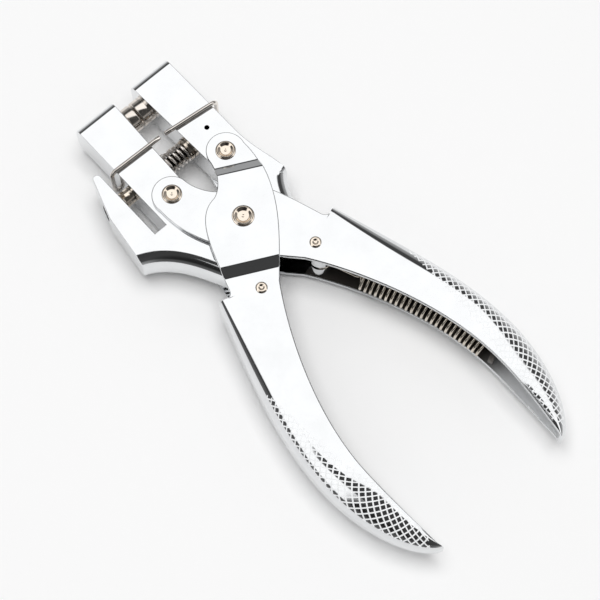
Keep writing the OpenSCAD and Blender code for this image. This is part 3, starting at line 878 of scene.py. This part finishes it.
def handle_plate(sizes, stepped):
    """Front plate of the right handle, flat or stepped over the other handle."""
    outline = plate_outline()
    solid = prism(outline, PLATE_Z, PLATE_TOP)
    seam = [tuple(np.round(outline[0], 3)), tuple(np.round(outline[-1], 3))]
    rims = [e for e in solid.edges
            if is_level(e) and not all(tuple(np.round(v.co[:2], 3)) in seam for v in e.verts)]
    soften(solid, rims, sizes.sheet_edge / MM, 4)
    if stepped:
        along = Vector((-math.sin(HALF_ANGLE), math.cos(HALF_ANGLE), 0))
        for bend in (RAISED_HALF_L, RAISED_HALF_L + STEP_L):
            for offset in STEP_LOOPS:
                for side in (-1, 1):
                    everything = solid.verts[:] + solid.edges[:] + solid.faces[:]
                    bmesh.ops.bisect_plane(solid, geom=everything, plane_co=along * side * (bend + offset),
                                           plane_no=along)
        for v in solid.verts:
            v.co.z += plate_rise(v.co.dot(along))
    return as_part(solid)


def handle_part(sizes, stepped, knurl_from):
    """Right handle with both plates, their rivet holes and the grip, and the finish of each face."""
    plate = handle_plate(sizes, stepped)
    holes = [(CENTRE_SHANK_R + RUNNING_GAP, 0, 0), (JAW_SHANK_R, -PIVOT_X, PIVOT_Y),
             (PIN_SHANK_R, PIVOT_X, -PIVOT_Y)]
    plate = cut(plate, [shifted(rod(r, 0, MID_Z), x, y) for r, x, y in holes])
    channel, kinds = grip_channel(sizes, knurl_from)
    return joined(plate, moved(plate, MIRROR_Z), channel), [SKIN] * 2 * len(plate[1]) + kinds


def inner_x(y):
    """Distance of a jaw's inner face from the tool's axis."""
    return THROAT_HALF + (TIP_Y - y) * RELIEF_SLOPE


def jaw_inside():
    """Outline of the right jaw from its tip down its inner face and round its tail."""
    points = [(inner_x(ROUND_TIP_Y), ROUND_TIP_Y), (inner_x(INNER_END_Y), INNER_END_Y), (TAIL_IN, TAIL_TOP_Y)]
    return points + arc((PIVOT_X, TAIL_END_Y), TAIL_W / 2, 180, 360, 16) + [(TAIL_OUT, TAIL_END_Y)]


def right_jaw_outline():
    """Outline of the right jaw."""
    neck = (TAIL_OUT, TAIL_NECK_Y)
    corner = np.array(REAR_CORNER, float)
    outline = jaw_inside()
    outline += curve((neck, (TAIL_OUT + 1.1, -6), corner - (3.8, 3.7), corner), 14)
    outline += curve((corner, corner + (-0.3, 6), (JAW_OUTER, 16), (JAW_OUTER, FLARE_Y)), 12)
    return outline + [(JAW_OUTER, FLARE_Y), (JAW_OUTER, ROUND_TIP_Y)]


def left_jaw_outline():
    """Outline of the left jaw and its wing, before mirroring."""
    neck = (TAIL_OUT, TAIL_NECK_Y)
    rear = np.array(WING_REAR, float) - (0, REAR_FULLNESS)
    outline = jaw_inside()
    outline += curve((neck, (TAIL_OUT + 3.4, -8), rear - (10.3, 4.3), rear), 18)
    outline += [rear, WING_BEND]
    outline += arc(WING_TIP, WING_TIP_R, 0, 180, 12)
    outline += [(WING_X, WING_TIP[1]), (WING_X, WING_SLOT_END), (JAW_OUTER, WING_SLOT_END)]
    return outline + [(JAW_OUTER, ROUND_TIP_Y)]


def jaw_solid(outline, rear, sizes):
    """Jaw block over an outline: round along the tip and where rear says so, and fine on every other edge."""
    solid = prism(outline, -JAW_T / 2, JAW_T / 2)
    for soft, radius in ((lambda x, y: y > TIP_Y, JAW_TIP_R), (rear, JAW_REAR_R)):
        wide = [e for e in solid.edges if is_level(e) and all(soft(v.co.x, v.co.y) for v in e.verts)]
        soften(solid, wide, radius, 10)
    fine = [e for e in solid.edges if len(e.link_faces) == 2 and e.calc_face_angle() > CRISP_ANGLE]
    soften(solid, fine, sizes.jaw_edge / MM, 3)
    return as_part(solid)


def tail_slot():
    """Cutter for the slot that a tail pin slides in, with room at both ends."""
    radius = PIN_SHANK_R + RUNNING_GAP
    outline = arc((PIVOT_X, -PIVOT_Y + OPEN_SLIDE + SLOT_FRONT_ROOM), radius, 0, 180, 16)
    outline += arc((PIVOT_X, -PIVOT_Y - SLOT_REAR_ROOM), radius, 180, 360, 16)
    return as_part(prism(outline, -JAW_T, JAW_T))


def jaw_cutters():
    """Cutters that both jaws share: rivet bore, tail slot, die seat and spring seat."""
    bore = shifted(rod(JAW_SHANK_R + RUNNING_GAP, -JAW_T, JAW_T), PIVOT_X, PIVOT_Y)
    die_seat = along_x(rod(DIE_R, 0, DIE_SEAT), DIE_Y)
    spring_seat = along_x(rod(SPRING_SEAT_R, 0, SPRING_SEAT), GUIDE_Y)
    return [bore, tail_slot(), die_seat, spring_seat]


def right_jaw_part(sizes):
    """Right jaw with its guide bore, oil hole and the slit for the return spring's hook."""
    def rear(x, y):
        return x > TAIL_OUT and TAIL_TOP_Y < y < REAR_CORNER[1] + NEAR
    guide = along_x(rod(GUIDE_R + RUNNING_GAP, 0, GUIDE_END + 2), GUIDE_Y)
    oil = shifted(rod(OIL_HOLE_R, 0, JAW_T, 32), *OIL_HOLE)
    slit_end = HOOK_Y + HOOK_EYE_R + RETURN_WIRE_R + NEAR
    slit = box_cutter((0, HOOK_Y - TAIL_W), (2 * PIVOT_X, slit_end), -2 * RETURN_WIRE_R, 2 * RETURN_WIRE_R)
    return cut(jaw_solid(right_jaw_outline(), rear, sizes), jaw_cutters() + [guide, oil, slit])


def kinds_where(part, test):
    """Finish of each face of a part: the second one where the test holds for its middle, else the first."""
    points, faces = part
    return [int(test(np.mean([points[i] for i in face], axis=0))) for face in faces]


def in_oil_hole(middle):
    """Whether a place on the right jaw lies on the wall of its oil hole."""
    return math.dist(middle[:2], OIL_HOLE) < OIL_HOLE_R + NEAR and 0 < middle[2] < JAW_T / 2 - NEAR / 2


def on_shank(middle):
    """Whether a place on the upright guide bolt lies on its shank."""
    return -JAW_OUTER < middle[2] < GUIDE_END - 1 and math.hypot(*middle[:2]) < GUIDE_R + NEAR


def left_jaw_part(sizes):
    """Left jaw with its wing and the hole that the guide bolt goes in by."""
    def rear(x, y):
        in_width = TAIL_OUT - NEAR < x < WING_REAR[0] + NEAR
        return in_width and TAIL_NECK_Y - NEAR < y < WING_REAR[1] + NEAR
    wing_hole = along_x(rod(WING_HOLE_R, JAW_OUTER + 2, JAW_OUTER + 20), GUIDE_Y)
    return cut(jaw_solid(left_jaw_outline(), rear, sizes), jaw_cutters() + [wing_hole])


def two_ended(half, corner, sides):
    """Turned piece from the upper half of its profile, which starts at the middle of its top."""
    half = rounded(half, corner)
    return revolved([(r, -z) for r, z in half] + [(r, z) for r, z in reversed(half)], sides)


def hollow_rivet(head_r, shank_r, grip):
    """Rivet with a ledge, a rolled rim and a round crater in each end."""
    top = grip + HEAD_H
    rim_r = head_r * 0.86
    floor_r = head_r * 0.52
    floor = top - head_r * 0.2
    crater = [(0, floor - 0.12), (floor_r * 0.3, floor), (floor_r, floor), (head_r * 0.74, top - 0.05)]
    rim = [(rim_r - 0.1, top), (rim_r + 0.06, top - 0.45)]
    ledge = [(head_r - 0.12, top - 0.5), (head_r, top - 0.62), (head_r, grip), (shank_r, grip)]
    return two_ended(crater + rim + ledge, 0.14, 72)


def dimpled_pin(head_r, shank_r, head_h, grip):
    """Pin with a low rounded head and a dimple at each end."""
    top = grip + head_h
    dimple = [(0, top - 0.3), (head_r * 0.3, top - 0.26), (head_r * 0.5, top)]
    head = [(head_r * 0.8, top), (head_r, top - head_h * 0.5), (head_r, grip), (shank_r, grip)]
    return two_ended(dimple + head, 0.16, 56)


def die_part(dish):
    """Die with a dished face, a turned groove and a stem, facing the tool's axis."""
    dish_r = DIE_R - 1.1
    groove_r = DIE_R - 0.22
    stem_end = DIE_SEAT + DIE_STEM_L
    face = [(0, DIE_FACE + dish), (dish_r - dish, DIE_FACE + dish), (dish_r, DIE_FACE),
            (DIE_R - 0.3, DIE_FACE), (DIE_R, DIE_FACE + 0.3)]
    groove = [(DIE_R, DIE_SEAT - 1.15), (groove_r, DIE_SEAT - 1.05), (groove_r, DIE_SEAT - 0.85),
              (DIE_R, DIE_SEAT - 0.75)]
    stem = [(DIE_R, DIE_SEAT), (DIE_STEM_R, DIE_SEAT), (DIE_STEM_R, stem_end), (0, stem_end)]
    return along_x(revolved(rounded(face + groove + stem, 0.12), 72), DIE_Y)


def post_part():
    """Centre post of the right die."""
    end = DIE_SEAT + 4
    profile = [(0, DIE_FACE), (POST_R - 0.4, DIE_FACE), (POST_R, DIE_FACE + 0.4), (POST_R, end), (0, end)]
    return along_x(revolved(rounded(profile, 0.15), 40), DIE_Y)


def bolt_part():
    """Guide bolt with a slotted head, upright on Z."""
    head = -JAW_OUTER - GUIDE_HEAD_H
    profile = [(0, head), (GUIDE_HEAD_R, head), (GUIDE_HEAD_R, -JAW_OUTER), (GUIDE_R, -JAW_OUTER),
               (GUIDE_R, GUIDE_END - 0.5), (GUIDE_R - 0.5, GUIDE_END), (0, GUIDE_END)]
    slot = box_cutter((-GUIDE_HEAD_R, -0.5), (GUIDE_HEAD_R, 0.5), head - 1, head + 1)
    return cut(revolved(rounded(profile, 0.3), 56), [slot])


def cap_part():
    """Ring between the jaw spring and the right jaw."""
    bore = GUIDE_R + RUNNING_GAP
    outer = JAW_SPRING_R + JAW_WIRE_R
    high = CAP_LOW + CAP_T
    ring = rounded([(bore, high), (bore, CAP_LOW), (outer, CAP_LOW), (outer, high), (bore, high)], 0.2)
    return along_x(revolved(ring, 56), GUIDE_Y)


def stop_wire_part(slant):
    """Wire stop of the right jaw: a leg across each face, joined by a base on the jaw's outer side."""
    base_y = STOP_Y + STOP_BASE_X * math.tan(slant)
    leg = (STOP_BASE_X - STOP_GAP_HALF) / math.cos(slant)
    half = [(-leg + leg * k / STOP_STEPS - STOP_BEND_R * k / STOP_STEPS, STOP_LEG_Z)
            for k in range(STOP_STEPS)]
    for k in range(STOP_STEPS + 1):
        a = math.radians(90 - 90 * k / STOP_STEPS)
        half.append((STOP_BEND_R * (math.cos(a) - 1), STOP_LEG_Z + STOP_BEND_R * (math.sin(a) - 1)))
    flat = half + [(p, -z) for p, z in reversed(half)]
    path = [(STOP_BASE_X + p * math.cos(slant), base_y + p * math.sin(slant), z) for p, z in flat]
    return wire(path, STOP_WIRE_R, 20, 4)


def jaw_spring_part():
    """Compression spring on the guide bolt, with a flat turn at each end."""
    start = -SPRING_SEAT + JAW_WIRE_R
    end = CAP_LOW - JAW_WIRE_R
    turns = JAW_TURNS + 1
    path = []
    for turn in np.linspace(0, turns, turns * COIL_STEPS + 1):
        share = min(1, max(0, (turn - FLAT_TURN) / (turns - 2 * FLAT_TURN)))
        a = 2 * math.pi * turn
        y = GUIDE_Y + JAW_SPRING_R * math.cos(a)
        path.append((start + (end - start) * share, y, JAW_SPRING_R * math.sin(a)))
    return wire(path, JAW_WIRE_R)


def spring_axis(t):
    """Point on the return spring's axis, along the right grip."""
    across = grip_point(GRIP_OUT, t) - grip_point(GRIP_IN, t)
    return grip_point(GRIP_IN, t) + SPRING_INSET * across / np.linalg.norm(across)


def spring_step(t, angle, radius):
    """Point on the return spring at a station along the grip."""
    heading = spring_axis(t + AXIS_STEP) - spring_axis(t - AXIS_STEP)
    heading /= np.linalg.norm(heading)
    centre = spring_axis(t)
    out = radius * math.cos(angle)
    return (centre[0] + out * heading[1], centre[1] - out * heading[0], radius * math.sin(angle))


def return_spring_part():
    """Long spring in the right grip, hooked on the jaw's tail and held by the anchor plate."""
    hook = np.array((PIVOT_X, HOOK_Y))
    leg_end = spring_axis(COIL_FROM - LEG_LEAD)
    toward = (leg_end - hook) / np.linalg.norm(leg_end - hook)
    leg_from = hook + toward * HOOK_EYE_R
    side = np.array((-toward[1], toward[0]))
    eye = [hook + HOOK_EYE_R * (math.cos(a) * toward - math.sin(a) * side)
           for a in np.radians(np.linspace(300, 0, 15))]
    leg = [leg_from + (leg_end - leg_from) * k / 4 for k in range(1, 5)]
    path = [(*p, 0) for p in eye + leg]
    for share in np.arange(1, LEAD_STEPS) / LEAD_STEPS:
        station = COIL_FROM - LEAD_IN * (1 - share)
        path.append(spring_step(station, -math.pi * (1 - share), RETURN_SPRING_R * share))
    full_turn = 2 * math.pi * RETURN_TURNS
    for share in np.linspace(0, 1, int(RETURN_TURNS * RETURN_STEPS) + 1):
        station = COIL_FROM + (COIL_TO - COIL_FROM) * share
        path.append(spring_step(station, full_turn * share, RETURN_SPRING_R))
    for share in np.arange(1, LEAD_STEPS + 1) / LEAD_STEPS:
        station = COIL_TO + (REAR_END_AT - COIL_TO) * share
        turn = full_turn + END_TURN * math.sin(math.pi / 2 * min(1, 3 * share))
        path.append(spring_step(station, turn, RETURN_SPRING_R))
    return wire(path, RETURN_WIRE_R, 10)


class PLIERS_OT_handles(bpy.types.Operator):
    """Builds both handles: bent sheet channels, knurled grips and rivet plates"""
    bl_idname = "pliers.handles"
    bl_label = "Handles"

    def execute(self, context):
        sizes = context.scene.plier_sizes
        finishes = [plated_sheet(), knurl_lines(), satin_sheet_painted_light(), cut_edge()]
        part, kinds = handle_part(sizes, False, RIGHT_KNURL_FROM)
        right = placed("right_handle_sheet", part, finishes, ["right_handle"],
                       sharp=40, weighted=True, kinds=kinds)
        part, kinds = handle_part(sizes, True, LEFT_KNURL_FROM)
        left = placed("left_handle_sheet", moved(part, MIRROR_X), finishes, ["left_handle"],
                      sharp=40, weighted=True, kinds=kinds)
        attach(right, "right_handle")
        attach(left, "left_handle")
        return {"FINISHED"}


class PLIERS_OT_jaws(bpy.types.Operator):
    """Builds the two jaw blocks"""
    bl_idname = "pliers.jaws"
    bl_label = "Jaws"

    def execute(self, context):
        sizes = context.scene.plier_sizes
        finishes = [plated_jaw(), bare_steel()]
        part = right_jaw_part(sizes)
        # The oil hole's wall gets the near-black colour as painted shade
        kinds = kinds_where(part, in_oil_hole)
        right = placed("right_jaw_block", part, finishes, ["right_jaw"],
                       sharp=40, weighted=True, kinds=kinds)
        part = moved(left_jaw_part(sizes), MIRROR_X)
        left = placed("left_jaw_block", part, finishes[:1], ["left_jaw"],
                      sharp=40, weighted=True)
        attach(right, "right_jaw")
        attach(left, "left_jaw")
        return {"FINISHED"}


def dress_node(node, finish):
    """Gives a finish to a solid node that keeps its own shape."""
    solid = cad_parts[node]
    solid.data.materials.clear()
    solid.data.materials.append(finish)


class PLIERS_OT_rivets(bpy.types.Operator):
    """Builds the hollow rivets and the tail pins, and finishes the hidden spacer, hook pin and anchor"""
    bl_idname = "pliers.rivets"
    bl_label = "Rivets and pins"

    def execute(self, context):
        nickel = [warm_nickel()]
        part = hollow_rivet(CENTRE_HEAD_R, CENTRE_SHANK_R, RAISED_TOP)
        centre = placed("centre_hollow_rivet", part, nickel, ["centre_rivet"])
        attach(centre, "left_handle")
        jaw_rivet = hollow_rivet(JAW_HEAD_R, JAW_SHANK_R, PLATE_TOP)
        for x, node, body in ((PIVOT_X, "right_jaw_rivet", "left_handle"),
                              (-PIVOT_X, "left_jaw_rivet", "right_handle")):
            rivet = shifted(jaw_rivet, x, PIVOT_Y)
            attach(placed(node + "_rolled", rivet, nickel, [node]), body)
        tail_pin = dimpled_pin(PIN_HEAD_R, PIN_SHANK_R, PIN_HEAD_H, PLATE_TOP)
        for x, node, body in ((PIVOT_X, "right_tail_pin", "right_handle"),
                              (-PIVOT_X, "left_tail_pin", "left_handle")):
            pin = shifted(tail_pin, x, -PIVOT_Y)
            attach(placed(node + "_headed", pin, nickel, [node]), body)
        dress_node("centre_spacer", warm_nickel())
        dress_node("spring_hook_pin", warm_nickel())
        # The anchor gets the near-black colour as painted shade at the coil's rear end
        dress_node("spring_anchor", bare_steel())
        return {"FINISHED"}


class PLIERS_OT_dies(bpy.types.Operator):
    """Builds the two dies and the post of the right one"""
    bl_idname = "pliers.dies"
    bl_label = "Dies"

    def execute(self, context):
        steel = [turned_steel()]
        right = die_part(RIGHT_DISH)
        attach(placed("right_turned_die", right, steel, ["right_die"]), "right_jaw")
        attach(placed("right_post", post_part(), steel, ["right_die_post"]), "right_jaw")
        left = moved(die_part(LEFT_DISH), MIRROR_X)
        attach(placed("left_turned_die", left, steel, ["left_die"]), "left_jaw")
        return {"FINISHED"}


class PLIERS_OT_stops(bpy.types.Operator):
    """Builds the two wire stops"""
    bl_idname = "pliers.stops"
    bl_label = "Wire stops"

    def execute(self, context):
        finish = [bright_wire()]
        part = stop_wire_part(RIGHT_STOP_SLANT)
        right = placed("right_bent_wire", part, finish, ["right_stop_wire"])
        part = moved(stop_wire_part(LEFT_STOP_SLANT), MIRROR_X)
        left = placed("left_bent_wire", part, finish, ["left_stop_wire"])
        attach(right, "right_jaw")
        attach(left, "left_jaw")
        return {"FINISHED"}


class PLIERS_OT_guide(bpy.types.Operator):
    """Builds the guide bolt, the spring round it and the cap"""
    bl_idname = "pliers.guide"
    bl_label = "Guide bolt and jaw spring"

    def execute(self, context):
        finishes = [warm_nickel(), bare_steel()]
        part = bolt_part()
        # The bolt's shank gets the near-black colour as painted shade inside the spring
        kinds = kinds_where(part, on_shank)
        part = along_x(part, GUIDE_Y)
        bolt = placed("guide_bolt_turned", part, finishes, ["guide_bolt"], kinds=kinds)
        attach(bolt, "left_jaw")
        cap = placed("spring_cap_ring", cap_part(), finishes[:1], ["spring_cap"])
        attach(cap, "spring_cap")
        coil = placed("jaw_spring_coil", jaw_spring_part(), [bright_wire()], ["jaw_spring"],
                      sharp=60)
        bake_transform(coil)
        return {"FINISHED"}


class PLIERS_OT_return_spring(bpy.types.Operator):
    """Builds the long spring in the right grip"""
    bl_idname = "pliers.return_spring"
    bl_label = "Return spring"

    def execute(self, context):
        part = return_spring_part()
        coil = placed("return_spring_coil", part, [drawn_wire()], ["return_spring"], sharp=60)
        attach(coil, "right_handle")
        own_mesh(coil)
        return {"FINISHED"}


def floor_finish(colour):
    """Plain pale matt floor."""
    material = bpy.data.materials.new("Pale floor")
    material.use_nodes = True
    tree = material.node_tree
    set_inputs(tree, tree.nodes["Principled BSDF"],
               {"Base Color": (*colour, 1), "Roughness": 0.7, "Specular IOR Level": 0.2})
    return material


def product(tree, *terms):
    """Product of sockets."""
    result = terms[0]
    for term in terms[1:]:
        result = calculated(tree, "MULTIPLY", result, term)
    return result


def tent_cover(tree, heading):
    """Share of the white tent in a direction: none past its sides and ends, or in the gap over the tool."""
    height = calculated(tree, "MAXIMUM", heading["Z"], HORIZON)
    across = calculated(tree, "DIVIDE", heading["X"], height)
    along = calculated(tree, "DIVIDE", heading["Y"], height)
    side_lean = calculated(tree, "MULTIPLY_ADD", along, SIDE_LEAN, across)
    end_lean = calculated(tree, "MULTIPLY_ADD", across, END_LEAN, along)
    sides = [step_between(tree, side_lean, *limits) for limits in (TENT_RIGHT, TENT_LEFT)]
    ends = [step_between(tree, along, *limits) for limits in (TENT_FRONT, TENT_REAR)]
    tent = product(tree, *sides, *ends)
    left_of_gap = step_between(tree, across, *GAP_LEFT)
    notch = step_between(tree, along, *GAP_NOTCH)
    gap = product(tree, step_between(tree, side_lean, *GAP_RIGHT),
                  calculated(tree, "MAXIMUM", left_of_gap, notch),
                  step_between(tree, along, *GAP_FRONT),
                  step_between(tree, end_lean, *GAP_CORNER))
    return product(tree, tent, calculated(tree, "SUBTRACT", 1, gap))


def dim_room(tree, heading):
    """Grey room beyond the tent: darker overhead, and darker again to the left."""
    ramp = tree.nodes.new("ShaderNodeValToRGB")
    set_inputs(tree, ramp, {"Fac": heading["Z"]})
    stops = ramp.color_ramp.elements
    for position in ROOM_HEIGHTS[1:-1]:
        stops.new(position)
    for stop, level in zip(stops, ROOM_LEVELS):
        stop.color = (level, level, level, 1)
    right = step_between(tree, heading["X"], *ROOM_SIDE)
    share = calculated(tree, "MULTIPLY_ADD", right, 1 - LEFT_SHARE, LEFT_SHARE)
    dimmed = {"Vector": ramp.outputs["Color"], "Scale": share}
    return outputs_of(tree, "ShaderNodeVectorMath", dimmed, operation="SCALE")["Vector"]


def studio_world(panel, sky):
    """Even light for matt faces; polish mirrors a white tent in a dim room, with a gap over the tool."""
    world = bpy.data.worlds.new("Studio")
    bpy.context.scene.world = world
    world.use_nodes = True
    tree = world.node_tree
    heading = place_parts(tree, "Generated")
    mirrored = mixed(tree, tent_cover(tree, heading), dim_room(tree, heading), (panel, panel, panel, 1))
    polish = outputs_of(tree, "ShaderNodeLightPath", {})["Is Glossy Ray"]
    light = mixed(tree, polish, (sky, sky, sky, 1), mirrored)
    set_inputs(tree, tree.nodes["Background"], {"Color": light})


def soft_lamp(power):
    """Wide lamp over the tool that lights it without showing in its polish."""
    lamp = bpy.data.lights.new("top_lamp", "AREA")
    lamp.shape = "DISK"
    lamp.size = LAMP_D
    lamp.energy = power
    holder = bpy.data.objects.new("top_lamp", lamp)
    bpy.context.scene.collection.objects.link(holder)
    holder.location = (0, 0, LAMP_H)
    holder.visible_glossy = False


def photo_camera(lens):
    """Camera at the photo's angle."""
    eye = bpy.data.cameras.new("eye")
    eye.lens = lens
    eye.sensor_width = SENSOR_W
    eye.clip_start = CLIP_START
    camera = bpy.data.objects.new("eye", eye)
    bpy.context.scene.collection.objects.link(camera)
    camera.location = CAMERA_AT
    camera.rotation_euler = (Vector(CAMERA_TARGET) - camera.location).to_track_quat("-Z", "Y").to_euler()
    bpy.context.scene.camera = camera


def pale_floor(colour):
    """Wide flat floor under the tool."""
    corners = [(x, y, 0) for x, y in ((-FLOOR_HALF, -FLOOR_HALF), (FLOOR_HALF, -FLOOR_HALF),
                                      (FLOOR_HALF, FLOOR_HALF), (-FLOOR_HALF, FLOOR_HALF))]
    mesh = as_mesh("floor", (corners, [(0, 1, 2, 3)]))
    mesh.materials.append(floor_finish(colour))
    floor = bpy.data.objects.new("floor", mesh)
    bpy.context.scene.collection.objects.link(floor)


class PLIERS_OT_stage(bpy.types.Operator):
    """Sets the floor, the studio light and the camera"""
    bl_idname = "pliers.stage"
    bl_label = "Stage"

    def execute(self, context):
        settings = context.scene.plier_stage
        pale_floor(settings.floor)
        studio_world(settings.panel, settings.sky)
        soft_lamp(settings.lamp_power)
        photo_camera(settings.lens)
        context.scene.view_settings.view_transform = "Standard"
        return {"FINISHED"}


class PLIERS_PT_sidebar(bpy.types.Panel):
    """Lists the pieces of the pliers"""
    bl_idname = "PLIERS_PT_sidebar"
    bl_label = "Setting pliers"
    bl_space_type = "VIEW_3D"
    bl_region_type = "UI"
    bl_category = "Pliers"

    def draw(self, context):
        for step in STEPS:
            self.layout.operator(step.bl_idname)
        for group in (context.scene.plier_sizes, context.scene.plier_finish, context.scene.plier_stage):
            for key in group.bl_rna.properties.keys()[2:]:
                self.layout.prop(group, key)


STEPS = (PLIERS_OT_handles, PLIERS_OT_jaws, PLIERS_OT_rivets, PLIERS_OT_dies, PLIERS_OT_stops,
         PLIERS_OT_guide, PLIERS_OT_return_spring, PLIERS_OT_stage)
CLASSES = (PlierSizes, PlierFinish, PlierStage) + STEPS + (PLIERS_PT_sidebar,)


def register():
    """Adds the classes and their settings."""
    for kind in CLASSES:
        bpy.utils.register_class(kind)
    bpy.types.Scene.plier_sizes = PointerProperty(type=PlierSizes)
    bpy.types.Scene.plier_finish = PointerProperty(type=PlierFinish)
    bpy.types.Scene.plier_stage = PointerProperty(type=PlierStage)


def unregister():
    """Takes the classes and their settings away."""
    del bpy.types.Scene.plier_stage
    del bpy.types.Scene.plier_finish
    del bpy.types.Scene.plier_sizes
    for kind in reversed(CLASSES):
        bpy.utils.unregister_class(kind)


def main():
    """Builds every piece and the stage."""
    register()
    bpy.ops.pliers.handles()
    bpy.ops.pliers.jaws()
    bpy.ops.pliers.rivets()
    bpy.ops.pliers.dies()
    bpy.ops.pliers.stops()
    bpy.ops.pliers.guide()
    bpy.ops.pliers.return_spring()
    bpy.ops.pliers.stage()


if __name__ == "__main__":
    main()
